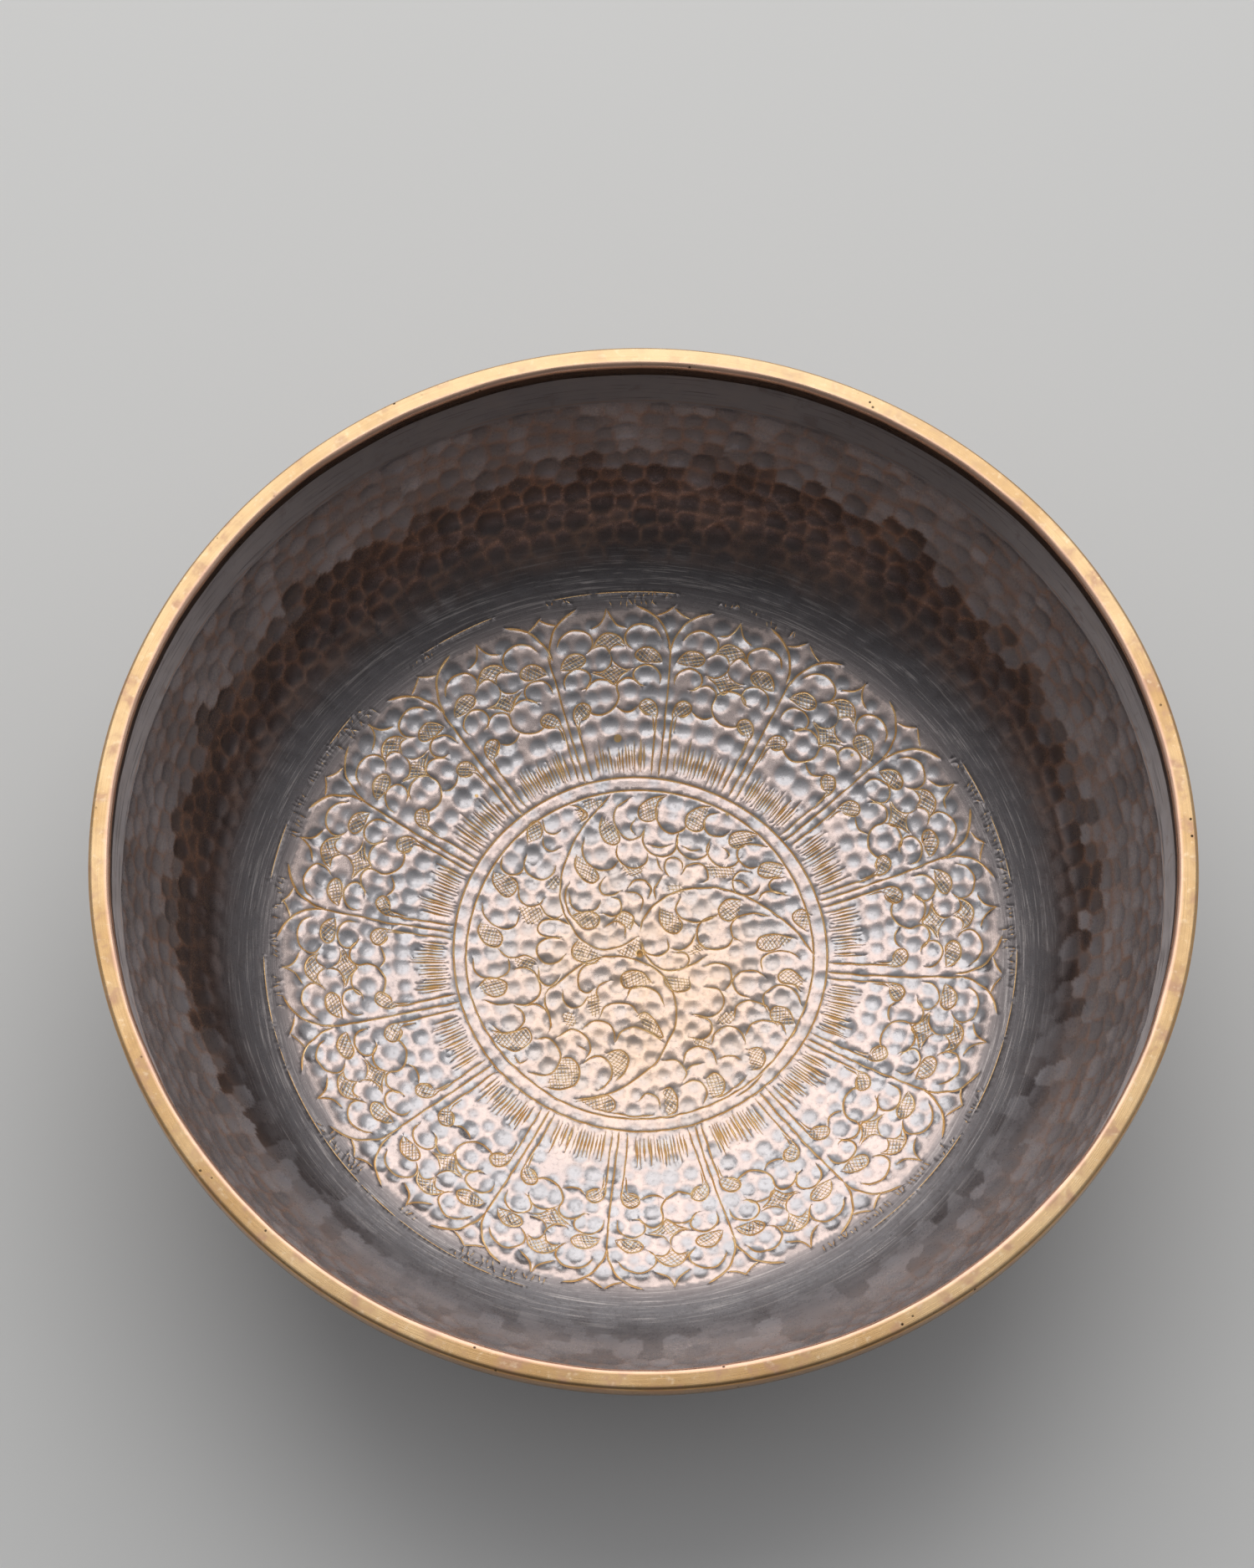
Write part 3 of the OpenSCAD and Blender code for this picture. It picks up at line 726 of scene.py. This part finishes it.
got = delaunay_2d_cdt([Vector(p) for p in np.vstack([ringp, g]).tolist()],
                      np.stack([np.arange(COLS), (np.arange(COLS) + 1) % COLS], 1).tolist(), [], 0, 1e-5, True)
b2 = np.array([tuple(v) for v in got[0]])
btri = np.array(got[2])
b_ring = np.full(COLS, -1)
for i, ids in enumerate(got[3]):
    for j in ids:
        if j < COLS:
            b_ring[j] = i
OS_R = PR + T * np.sin(PA)
OS_Z = PZ - T * np.cos(PA)
br_ = np.hypot(*b2.T)
b_s = np.interp(br_, OS_R, PS)
base_bot = np.stack([b2[:, 0], b2[:, 1], np.interp(br_, OS_R, OS_Z)], 1)
outer = np.vstack([base_out, base_bot])
out_s = np.concatenate([S_o.ravel(), b_s])
out_th = np.concatenate([T_o.ravel(), np.arctan2(b2[:, 1], b2[:, 0])])
_, _, out_a = at(out_s)
out_n = np.stack([np.sin(out_a) * np.cos(out_th), np.sin(out_a) * np.sin(out_th), -np.cos(out_a)], 1)
h, gap_o, m1_o, who_o = dented(outer, dents_out, 0.06, 1.0)
fade_o = np.clip((S_END - 4.0 - out_s) / 6.0, 0, 1)
flat = np.clip((out_s - 24) / 10, 0.12, 1)
slow_o = -(0.16 * wave(sw, out_th) * np.clip((out_s - 34) / 40, 0, 1)) * np.clip((S_END - out_s) / 12, 0, 1)
outer_pos = outer + out_n * (h * fade_o * flat + slow_o)[:, None]
outer_pos[:, 2] = np.maximum(outer_pos[:, 2], 0.0)
ridge_out = np.exp(-(gap_o / 0.28) ** 2) * (m1_o < -0.005) * fade_o
deep_out = np.clip(-m1_o / 0.42, 0, 1) * fade_o
cell_out = np.where(who_o >= 0, tone_o[who_o], 0.5)
grey_out = np.full(len(outer), 0.35)

# the edge that sits in the ring's groove
edge_rows = [(WALL_RI, SEAT), (WALL_RO, SEAT), (WALL_RO, TOP)]
edge_pos = np.vstack([np.stack([r * np.cos(th), r * np.sin(th), np.full(COLS, z)], 1) for r, z in edge_rows])

n_inner, n_edge = len(inner_pos), len(edge_pos)
verts = np.vstack([inner_pos, edge_pos, outer_pos]) * MM
o_edge, o_out = n_inner, n_inner + n_edge
o_bot = o_out + len(base_out)


def ring_quads(a, b):
    """Faces between two rings of vertex numbers; a is nearer the middle of the inside."""
    return np.stack([a, np.roll(a, -1), np.roll(b, -1), b], 1)


rows = [rim_ids] + [n_floor + i * COLS + np.arange(COLS) for i in range(n_in)]
rows += [o_edge + i * COLS + np.arange(COLS) for i in range(3)]
rows += [o_out + i * COLS + np.arange(COLS) for i in range(n_out - 1)]
# the last row of the outside wall is the underside's own ring
rows += [o_bot + b_ring]
quads = np.vstack([ring_quads(a, b)[:, ::-1] for a, b in zip(rows[:-1], rows[1:])])
used_last = o_out + (n_out - 1) * COLS


def build(name, verts, tris, quads, tri_slot, quad_slot, smooth_tri, attrs):
    """A mesh object from triangles and quads, dropping vertices that nothing uses."""
    used = np.zeros(len(verts), bool)
    used[tris.ravel()] = True
    used[quads.ravel()] = True
    new = np.cumsum(used) - 1
    verts = verts[used]
    tris, quads = new[tris], new[quads]
    me = bpy.data.meshes.new(name)
    nt, nq = len(tris), len(quads)
    me.vertices.add(len(verts))
    me.vertices.foreach_set("co", verts.astype(np.float32).ravel())
    loops = np.concatenate([tris.ravel(), quads.ravel()]).astype(np.int32)
    me.loops.add(len(loops))
    me.loops.foreach_set("vertex_index", loops)
    me.polygons.add(nt + nq)
    start = np.concatenate([np.arange(nt) * 3, nt * 3 + np.arange(nq) * 4]).astype(np.int32)
    me.polygons.foreach_set("loop_start", start)
    me.update(calc_edges=True)
    me.polygons.foreach_set("material_index", np.concatenate([tri_slot, quad_slot]).astype(np.int32))
    me.polygons.foreach_set("use_smooth", np.concatenate([smooth_tri, np.ones(nq, bool)]))
    for key, val in attrs.items():
        at_ = me.attributes.new(key, "FLOAT", "POINT")
        at_.data.foreach_set("value", val[used].astype(np.float32))
    bad = me.validate(verbose=False)
    me.update()
    ob = bpy.data.objects.new(name, me)
    scene.collection.objects.link(ob)
    return ob, bad


zero_e = np.zeros(n_edge)
# 1 on the engraved floor, falling to 0 on the wall
zone_in = np.clip((float(s_of_r(109.5)) - in_s) / 5.0, 0, 1)
ridge = np.concatenate([ridge_in, zero_e, ridge_out])
deep = np.concatenate([deep_in, zero_e, deep_out])
zone = np.concatenate([zone_in, zero_e, np.zeros(len(outer_pos))])
side = np.concatenate([np.zeros(n_inner), zero_e, np.ones(len(outer_pos))])
arc = np.concatenate([in_s, np.full(n_edge, S_END), out_s]) / S_END
tris = np.vstack([tri, btri[:, ::-1] + o_bot])
tri_slot = np.concatenate([is_cut.astype(int), np.zeros(len(btri), int)])
smooth_tri = np.concatenate([~is_cut, np.ones(len(btri), bool)])
quad_slot = np.repeat([2 if S_BAND < s_in[min(i, n_in - 1)] and i <= n_in else 0 for i in range(len(rows) - 1)], COLS)
bowl, bad = build("bowl_hammered", verts, tris, quads, tri_slot, quad_slot, smooth_tri,
                  {"ridge": ridge, "deep": deep, "zone": zone, "side": side, "arc": arc,
                   "cell": np.concatenate([cell_in, zero_e + 0.5, cell_out]),
                   "grey": np.concatenate([grey_in, zero_e + 1, grey_out])})
print("bowl", len(bowl.data.vertices), len(bowl.data.polygons), "cut faces", int(is_cut.sum()), "strokes", len(STROKES), "repaired", bad)

# ------------------------------------------------------------------ rim ring
RC = 1200


def rim_section():
    """Outline of the ring as (r, z) points, from the groove round; the weights of the inner edge, top and outer edge
    are worked out from it afterwards.
    """
    pts = [(145.86, 86.5), (145.86, 89.5), (148.44, 89.5), (148.44, 86.5)]
    def arc(cx, cz, r, a0, a1, n):
        return [(cx + r * math.cos(math.radians(a0 + (a1 - a0) * i / n)), cz + r * math.sin(math.radians(a0 + (a1 - a0) * i / n))) for i in range(n + 1)]
    pts += arc(149.4, 87.1, 0.6, 270, 360, 4)
    pts += [(150.0, 88.8), (150.0, 90.4)]
    pts += arc(148.9, 91.9, 1.1, 0, 90, 6)
    for i in range(1, 6):
        x = 148.9 + (145.6 - 148.9) * i / 6
        pts.append((x, 93.0 - 0.02 + 0.02 * math.sin(PI * i / 6)))
    pts += arc(145.7, 91.5, 1.5, 90, 180, 8)
    pts += [(144.2, 90.0), (144.2, 88.4)]
    pts += arc(144.8, 87.1, 0.6, 180, 270, 4)
    return np.array(pts)


sec = rim_section()
w_in = np.clip((145.9 - sec[:, 0]) / 1.2, 0, 1) * (sec[:, 1] > 86.6)
w_top = np.clip((sec[:, 1] - 90.5) / 2.0, 0, 1)
w_out = np.clip((sec[:, 0] - 149.0) / 0.8, 0, 1) * (sec[:, 1] > 86.6)
rth = np.arange(RC) * 2 * PI / RC
rw1, rw2, rw3, rw4 = (waves(np.random.default_rng(50 + i), 12, 3, 40) for i in range(4))
d_in = 0.16 * wave(rw1, rth) + 0.05 * wave(waves(np.random.default_rng(60), 20, 30, 120), rth)
d_top = 0.035 * wave(rw2, rth)
d_out = 0.05 * wave(rw3, rth)
tilt = 0.05 * wave(rw4, rth)
rp = np.empty((RC, len(sec), 3))
for j in range(len(sec)):
    r = sec[j, 0] + w_in[j] * d_in + w_out[j] * np.minimum(d_out, 0.03)
    z = sec[j, 1] + w_top[j] * (np.minimum(d_top, 0.0) + tilt * (sec[j, 0] - 147.1) / 2.9 - 0.06)
    rp[:, j] = np.stack([r * np.cos(rth), r * np.sin(rth), z], 1)
n_sec = len(sec)
ids = np.arange(RC * n_sec).reshape(RC, n_sec)
a, b = ids, np.roll(ids, -1, axis=0)
c, d = np.roll(b, -1, axis=1), np.roll(a, -1, axis=1)
rq = np.stack([a.ravel(), b.ravel(), c.ravel(), d.ravel()], 1)
rim, bad = build("rim_ring_worn", rp.reshape(-1, 3) * MM, np.zeros((0, 3), int), rq, np.zeros(0, int), np.zeros(len(rq), int), np.zeros(0, bool), {})
print("rim", len(rim.data.vertices), len(rim.data.polygons), "repaired", bad)


# ------------------------------------------------------------------ materials
class Tree:
    """A short way to write a node material."""

    def __init__(self, name):
        self.mat = bpy.data.materials.new(name)
        self.mat.use_nodes = True
        self.nt = self.mat.node_tree
        self.nt.nodes.clear()
        self.out = self.nt.nodes.new("ShaderNodeOutputMaterial")
        self.p = self.nt.nodes.new("ShaderNodeBsdfPrincipled")
        self.nt.links.new(self.p.outputs[0], self.out.inputs["Surface"])

    def put(self, socket, value):
        if hasattr(value, "links"):
            self.nt.links.new(value, socket)
        else:
            socket.default_value = value

    def node(self, kind, out=0, **kw):
        n = self.nt.nodes.new("ShaderNode" + kind)
        for k, v in kw.items():
            if k.startswith("i_"):
                self.put(n.inputs[int(k[2:])] if k[2:].isdigit() else n.inputs[k[2:]], v)
            else:
                setattr(n, k, v)
        return n.outputs[out]

    def coord(self):
        return self.node("TexCoord", "Object")

    def attr(self, name):
        return self.node("Attribute", "Fac", attribute_name=name)

    def math(self, op, a, b=0.0, clamp=False):
        n = self.nt.nodes.new("ShaderNodeMath")
        n.operation, n.use_clamp = op, clamp
        self.put(n.inputs[0], a)
        if op not in ("SINE", "COSINE", "SQRT", "ABSOLUTE", "FRACT"):
            self.put(n.inputs[1], b)
        return n.outputs[0]

    def vec(self, op, a, b=(0, 0, 0), out=0):
        n = self.nt.nodes.new("ShaderNodeVectorMath")
        n.operation = op
        self.put(n.inputs[0], a)
        if op == "SCALE":
            self.put(n.inputs["Scale"], b)
        elif op != "LENGTH":
            self.put(n.inputs[1], b)
        return n.outputs["Value"] if op in ("LENGTH", "DOT_PRODUCT", "DISTANCE") else n.outputs[0]

    def ramp(self, fac, stops):
        n = self.nt.nodes.new("ShaderNodeValToRGB")
        while len(n.color_ramp.elements) < len(stops):
            n.color_ramp.elements.new(0.5)
        for e, (pos, col) in zip(n.color_ramp.elements, stops):
            e.position = pos
            e.color = (*col, 1) if isinstance(col, tuple) else (col, col, col, 1)
        self.put(n.inputs[0], fac)
        return n.outputs[0]

    def span(self, v, a, b, c=0.0, d=1.0):
        n = self.nt.nodes.new("ShaderNodeMapRange")
        n.clamp = True
        n.interpolation_type = "SMOOTHSTEP"
        for i, x in enumerate((v, a, b, c, d)):
            self.put(n.inputs[i], x)
        return n.outputs[0]

    def mix(self, fac, a, b, mode="MIX"):
        n = self.nt.nodes.new("ShaderNodeMix")
        n.data_type, n.blend_type = "RGBA", mode
        self.put(n.inputs[0], fac)
        for i, x in ((6, a), (7, b)):
            self.put(n.inputs[i], (*x, 1) if isinstance(x, tuple) and len(x) == 3 else x)
        return n.outputs[2]

    def noise(self, vector, scale, detail=3.0, rough=0.55, dist=0.0):
        n = self.nt.nodes.new("ShaderNodeTexNoise")
        self.put(n.inputs["Vector"], vector)
        n.inputs["Scale"].default_value = scale
        n.inputs["Detail"].default_value = detail
        n.inputs["Roughness"].default_value = rough
        n.inputs["Distortion"].default_value = dist
        return n.outputs[0]

    def spots(self, vector, scale, random=1.0):
        n = self.nt.nodes.new("ShaderNodeTexVoronoi")
        self.put(n.inputs["Vector"], vector)
        n.inputs["Scale"].default_value = scale
        n.inputs["Randomness"].default_value = random
        return n.outputs["Distance"]

    def bump(self, height, strength, distance, normal=None):
        n = self.nt.nodes.new("ShaderNodeBump")
        n.inputs["Strength"].default_value = strength
        n.inputs["Distance"].default_value = distance
        self.put(n.inputs["Height"], height)
        if normal is not None:
            self.put(n.inputs["Normal"], normal)
        return n.outputs[0]


def around(t, along, across):
    """Coordinates that change slowly round the axis and fast up and across it, for turning and polishing marks."""
    sep = t.nt.nodes.new("ShaderNodeSeparateXYZ")
    t.put(sep.inputs[0], t.coord())
    flat = t.node("CombineXYZ", 0, i_0=sep.outputs[0], i_1=sep.outputs[1], i_2=0.0)
    rad = t.vec("LENGTH", flat)
    unit = t.vec("NORMALIZE", flat)
    u = t.vec("SCALE", unit, along)
    up = t.math("MULTIPLY", sep.outputs[2], across)
    ra = t.math("MULTIPLY", rad, across)
    return t.vec("ADD", u, t.node("CombineXYZ", 0, i_0=ra, i_1=ra, i_2=up)), rad, sep.outputs[2]


SKIRT_A, SKIRT_B, SKIRT_C, SKIRT_D = (float(v / S_END) for v in (s_of_r(96.0), s_of_r(106.5), s_of_r(112.0), s_of_r(123.0)))


def patina():
    t = Tree("patinated_copper")
    P = t.coord()
    ridge_a, deep_a, zone_a, side_a, arc_a, cell_a, grey_a = (t.attr(n) for n in ("ridge", "deep", "zone", "side", "arc", "cell", "grey"))
    turned_v, rad, z = around(t, 6.0, 2600.0)
    big = t.noise(P, 22, 4, 0.6)
    mid_n = t.noise(P, 110, 4, 0.6, 0.4)
    small = t.noise(P, 900, 3, 0.6)
    speck = t.noise(P, 3200, 2, 0.5)
    scratch = t.noise(turned_v, 1.0, 3, 0.6)
    coarse_v, _, _ = around(t, 9.0, 850.0)
    scratch = t.math("ADD", t.math("MULTIPLY", scratch, 0.5), t.math("MULTIPLY", t.noise(coarse_v, 1.0, 3, 0.65), 0.5))
    # wall: dark red-brown with blacker patches
    wall = t.mix(t.span(big, 0.38, 0.66), (0.122, 0.092, 0.087), (0.170, 0.126, 0.116))
    wall = t.mix(t.span(mid_n, 0.50, 0.75, 0, 0.6), wall, (0.17, 0.155, 0.155))
    # the grey upper zone: partly the patina's own tone, partly painted reflection
    upper = t.mix(t.span(big, 0.38, 0.66), (0.40, 0.375, 0.395), (0.50, 0.465, 0.485))
    wall = t.mix(grey_a, wall, upper)
    wall = t.mix(t.span(cell_a, 0.0, 1.0, 0.0, 0.50), wall, (0.125, 0.108, 0.110))
    # floor: paler, between lead grey and rose
    flo = t.mix(t.span(big, 0.35, 0.65), (0.565, 0.475, 0.460), (0.665, 0.535, 0.500))
    flo = t.mix(t.span(deep_a, 0.10, 0.85, 0, 0.85), flo, (0.55, 0.545, 0.57))
    flo = t.mix(t.span(cell_a, 0.0, 1.0, 0.0, 0.22), flo, (0.40, 0.38, 0.39))
    col = t.mix(zone_a, wall, flo)
    # smooth band round the floor: charcoal
    inside = t.math("SUBTRACT", 1.0, side_a)
    skirt = t.math("MULTIPLY", t.math("MULTIPLY", t.span(arc_a, SKIRT_A, SKIRT_B), t.span(arc_a, SKIRT_D, SKIRT_C)), inside)
    col = t.mix(t.math("MULTIPLY", skirt, 0.85), col, (0.138, 0.130, 0.137))
    lines = t.math("MULTIPLY", skirt, 0.7)
    col = t.mix(t.math("MULTIPLY", lines, t.span(scratch, 0.51, 0.64, 0, 0.7)), col, (0.60, 0.54, 0.52))
    col = t.mix(t.math("MULTIPLY", lines, t.span(scratch, 0.48, 0.36, 0, 0.7)), col, (0.13, 0.11, 0.11))
    # worn ridges: copper shows
    worn = t.math("MULTIPLY", ridge_a, t.span(mid_n, 0.36, 0.62, 0.25, 1.0))
    worn_w = t.math("MULTIPLY", worn, t.span(zone_a, 0, 1, 0.75, 0.70))
    ridge_c = t.mix(zone_a, (0.42, 0.25, 0.18), (0.80, 0.64, 0.585))
    col = t.mix(worn_w, col, ridge_c)
    # warmer middle, where handling has rubbed the floor
    d = t.vec("DISTANCE", P, (0.002, -0.014, 0.003))
    warm = t.math("MULTIPLY", t.span(d, 0.064, 0.006, 0, 0.80), t.span(mid_n, 0.3, 0.65, 0.45, 1.0))
    col = t.mix(t.math("MULTIPLY", warm, zone_a), col, (0.80, 0.57, 0.41))
    # grain
    col = t.mix(t.span(small, 0.56, 0.72, 0, 0.35), col, t.mix(zone_a, (0.06, 0.045, 0.04), (0.24, 0.21, 0.21)))
    col = t.mix(t.span(speck, 0.66, 0.78, 0, 0.45), col, t.mix(zone_a, (0.42, 0.27, 0.19), (0.72, 0.66, 0.62)))
    t.put(t.p.inputs["Base Color"], col)
    # the dark skin is an oxide, so less metallic than the bare floor, and least in the grey upper zone
    skin = t.math("SUBTRACT", 0.78, t.math("MULTIPLY", grey_a, 0.30))
    t.put(t.p.inputs["Metallic"], t.math("ADD", t.math("MULTIPLY", skin, t.math("SUBTRACT", 1.0, zone_a)), t.math("MULTIPLY", zone_a, 0.92)))
    rough = t.math("ADD", t.span(zone_a, 0, 1, 0.28, 0.29), t.span(small, 0.3, 0.7, -0.03, 0.07))
    rough = t.math("ADD", rough, t.span(mid_n, 0.3, 0.7, -0.04, 0.05))
    rough = t.math("SUBTRACT", rough, t.math("MULTIPLY", worn, 0.05))
    t.put(t.p.inputs["Roughness"], rough)
    bh = t.math("ADD", t.math("MULTIPLY", small, 0.5), t.math("MULTIPLY", speck, 0.25))
    bh = t.math("ADD", bh, t.math("MULTIPLY", t.math("MULTIPLY", scratch, lines), 2.4))
    t.put(t.p.inputs["Normal"], t.bump(bh, 0.35, 0.00012))
    return t.mat


def turned_band():
    """The smooth band under the ring, left grey by turning marks that run round it."""
    t = Tree("turned_band")
    P = t.coord()
    fine_v, rad, z = around(t, 6.0, 2600.0)
    coarse_v, _, _ = around(t, 9.0, 850.0)
    scratch = t.math("ADD", t.math("MULTIPLY", t.noise(fine_v, 1.0, 3, 0.6), 0.5), t.math("MULTIPLY", t.noise(coarse_v, 1.0, 3, 0.65), 0.5))
    big = t.noise(P, 30, 4, 0.6)
    mid_n = t.noise(P, 150, 4, 0.6, 0.5)
    col = t.mix(t.span(big, 0.36, 0.66), (0.50, 0.465, 0.475), (0.60, 0.555, 0.56))
    col = t.mix(t.span(scratch, 0.51, 0.64, 0, 0.7), col, (0.60, 0.54, 0.52))
    col = t.mix(t.span(scratch, 0.48, 0.36, 0, 0.7), col, (0.15, 0.125, 0.125))
    col = t.mix(t.span(mid_n, 0.56, 0.72, 0, 0.5), col, (0.30, 0.20, 0.165))
    off = t.math("ABSOLUTE", t.math("SUBTRACT", z, 0.0732))
    scribe = t.math("MULTIPLY", t.span(off, 0.00035, 0.00012), t.span(t.noise(P, 75, 3), 0.40, 0.56))
    col = t.mix(t.math("MULTIPLY", scribe, 0.8), col, (0.60, 0.36, 0.25))
    # painted shade: darker at the back, where the band catches less light
    back = t.span(t.vec("DISTANCE", P, (0.0, 0.15, 0.083)), 0.19, 0.07, 0, 0.62)
    col = t.mix(back, col, (0.17, 0.15, 0.152))
    # painted shade close under the ring
    col = t.mix(t.span(z, 0.0845, 0.0866, 0, 0.45), col, (0.08, 0.062, 0.056))
    t.put(t.p.inputs["Base Color"], col)
    t.p.inputs["Metallic"].default_value = 0.55
    t.put(t.p.inputs["Roughness"], t.span(mid_n, 0.3, 0.7, 0.42, 0.54))
    t.p.inputs["Anisotropic"].default_value = 0.85
    t.p.inputs["Anisotropic Rotation"].default_value = 0.25
    tan = t.nt.nodes.new("ShaderNodeTangent")
    tan.direction_type, tan.axis = "RADIAL", "Z"
    t.nt.links.new(tan.outputs[0], t.p.inputs["Tangent"])
    t.put(t.p.inputs["Normal"], t.bump(scratch, 0.5, 0.00015))
    return t.mat


def bright_cut():
    t = Tree("bright_cut_lines")
    P = t.coord()
    n1 = t.noise(P, 160, 3, 0.6)
    n2 = t.noise(P, 1800, 2, 0.6)
    col = t.mix(t.span(n1, 0.35, 0.68), (0.88, 0.555, 0.235), (1.0, 0.735, 0.40))
    col = t.mix(t.span(n2, 0.58, 0.74, 0, 0.5), col, (0.45, 0.24, 0.10))
    t.put(t.p.inputs["Base Color"], col)
    t.p.inputs["Metallic"].default_value = 0.72
    t.put(t.p.inputs["Roughness"], t.span(n2, 0.3, 0.7, 0.34, 0.50))
    t.put(t.p.inputs["Normal"], t.bump(n2, 0.3, 0.00006))
    return t.mat


def rim_metal():
    t = Tree("polished_rim")
    P = t.coord()
    tv, rad, z = around(t, 9.0, 3000.0)
    brushed = t.noise(tv, 1.0, 4, 0.6)
    big = t.noise(P, 26, 4, 0.6)
    mid_n = t.noise(P, 150, 4, 0.62, 0.3)
    fine_n = t.noise(P, 1700, 3, 0.6)
    pits = t.spots(P, 240)
    pit_on = t.math("MULTIPLY", t.span(pits, 0.12, 0.05), t.span(t.noise(P, 60, 2), 0.48, 0.58))
    col = t.mix(t.span(big, 0.35, 0.66), (0.53, 0.325, 0.150), (0.68, 0.475, 0.265))
    col = t.mix(t.span(mid_n, 0.50, 0.70, 0, 0.75), col, (0.50, 0.29, 0.20))
    col = t.mix(t.span(t.noise(P, 420, 3, 0.6), 0.55, 0.72, 0, 0.5), col, (0.80, 0.62, 0.42))
    # painted highlight: paler towards the back, where the light falls on the ring
    back_highlight = t.span(t.vec("DISTANCE", P, (0.0, 0.21, 0.09)), 0.20, 0.06, 0, 0.55)
    col = t.mix(back_highlight, col, (0.74, 0.56, 0.345))
    # inner bevel: rosier, partly the copper's own tinge and partly a painted highlight line; outer edge: deeper orange
    col = t.mix(t.span(rad, 0.1462, 0.1450, 0, 0.75), col, (0.92, 0.58, 0.45))
    col = t.mix(t.span(rad, 0.1492, 0.14995, 0, 0.55), col, (0.62, 0.32, 0.13))
    # darker low on the sides
    col = t.mix(t.span(z, 0.0900, 0.0872, 0, 0.75), col, (0.28, 0.18, 0.10))
    # painted shade: very dark under the inner edge of the ring, beside the undercut
    under = t.math("MULTIPLY", t.span(z, 0.0918, 0.0906), t.span(rad, 0.1458, 0.1450))
    col = t.mix(t.math("MULTIPLY", under, 0.9), col, (0.075, 0.052, 0.040))
    col = t.mix(t.span(brushed, 0.55, 0.75, 0, 0.22), col, (0.55, 0.36, 0.19))
    col = t.mix(pit_on, col, (0.07, 0.045, 0.03))
    t.put(t.p.inputs["Base Color"], col)
    t.p.inputs["Metallic"].default_value = 1.0
    r = t.math("ADD", t.span(brushed, 0.3, 0.7, 0.24, 0.34), t.span(mid_n, 0.35, 0.7, -0.03, 0.08))
    r = t.math("ADD", r, t.math("MULTIPLY", pit_on, 0.3))
    t.put(t.p.inputs["Roughness"], r)
    hgt = t.math("ADD", t.math("MULTIPLY", brushed, 0.6), t.math("MULTIPLY", fine_n, 0.3))
    hgt = t.math("SUBTRACT", hgt, t.math("MULTIPLY", pit_on, 3.0))
    t.put(t.p.inputs["Normal"], t.bump(hgt, 0.30, 0.0001))
    return t.mat


m_patina, m_cut, m_band, m_rim = patina(), bright_cut(), turned_band(), rim_metal()
for m in (m_patina, m_cut, m_band):
    bowl.data.materials.append(m)
rim.data.materials.append(m_rim)

for piece, node, slot in ((bowl, "bowl_body", "patinated_copper"), (rim, "rim_ring", "polished_rim")):
    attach(piece, "root")
    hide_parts(node)

# ------------------------------------------------------------------ stage: a plain pale floor, and soft lights
me = bpy.data.meshes.new("studio_floor")
me.from_pydata([(-6, -6, 0), (6, -6, 0), (6, 6, 0), (-6, 6, 0)], [], [(0, 1, 2, 3)])
ground = bpy.data.objects.new("studio_floor", me)
scene.collection.objects.link(ground)
t = Tree("studio_floor")
g1 = t.noise(t.coord(), 3.0, 3, 0.5)
t.put(t.p.inputs["Base Color"], t.mix(g1, (0.80, 0.80, 0.79), (0.84, 0.84, 0.83)))
t.p.inputs["Roughness"].default_value = 0.75
me.materials.append(t.mat)


def softbox(name, direction, dist, w, h, power, colour, target=(0, 0, 0.04)):
    d = Vector(direction).normalized()
    light = bpy.data.lights.new(name, "AREA")
    light.shape, light.size, light.size_y = "RECTANGLE", w, h
    light.energy, light.color = power, colour
    o = bpy.data.objects.new(name, light)
    scene.collection.objects.link(o)
    o.location = Vector(target) + d * dist
    o.rotation_euler = (-d).to_track_quat("-Z", "Y").to_euler()
    return o


# power is set for a stated brightness of each softbox as seen in the metal
def glow(w, h, radiance):
    return PI * w * h * radiance


softbox("key", (-0.06, 0.69, 0.72), 1.5, 1.75, 1.95, glow(1.75, 1.95, 1.22), (1.0, 0.985, 0.96))
# the room: dim on the near side, paler behind the bowl and at the sides
world = bpy.data.worlds.new("world")
world.use_nodes = True
wn, wl = world.node_tree.nodes, world.node_tree.links
w_dir = wn.new("ShaderNodeTexCoord")
w_sep = wn.new("ShaderNodeSeparateXYZ")
w_map = wn.new("ShaderNodeMapRange")
w_map.interpolation_type = "SMOOTHSTEP"
wl.new(w_dir.outputs["Generated"], w_sep.inputs[0])
wl.new(w_sep.outputs[1], w_map.inputs[0])
for i, v in enumerate((-0.70, 0.30, 0.14, 0.50)):
    w_map.inputs[i + 1].default_value = v
wn["Background"].inputs[0].default_value = (0.97, 0.98, 1.0, 1)
wl.new(w_map.outputs[0], wn["Background"].inputs[1])
scene.world = world
scene.view_settings.view_transform = "Standard"
scene.view_settings.look = "None"
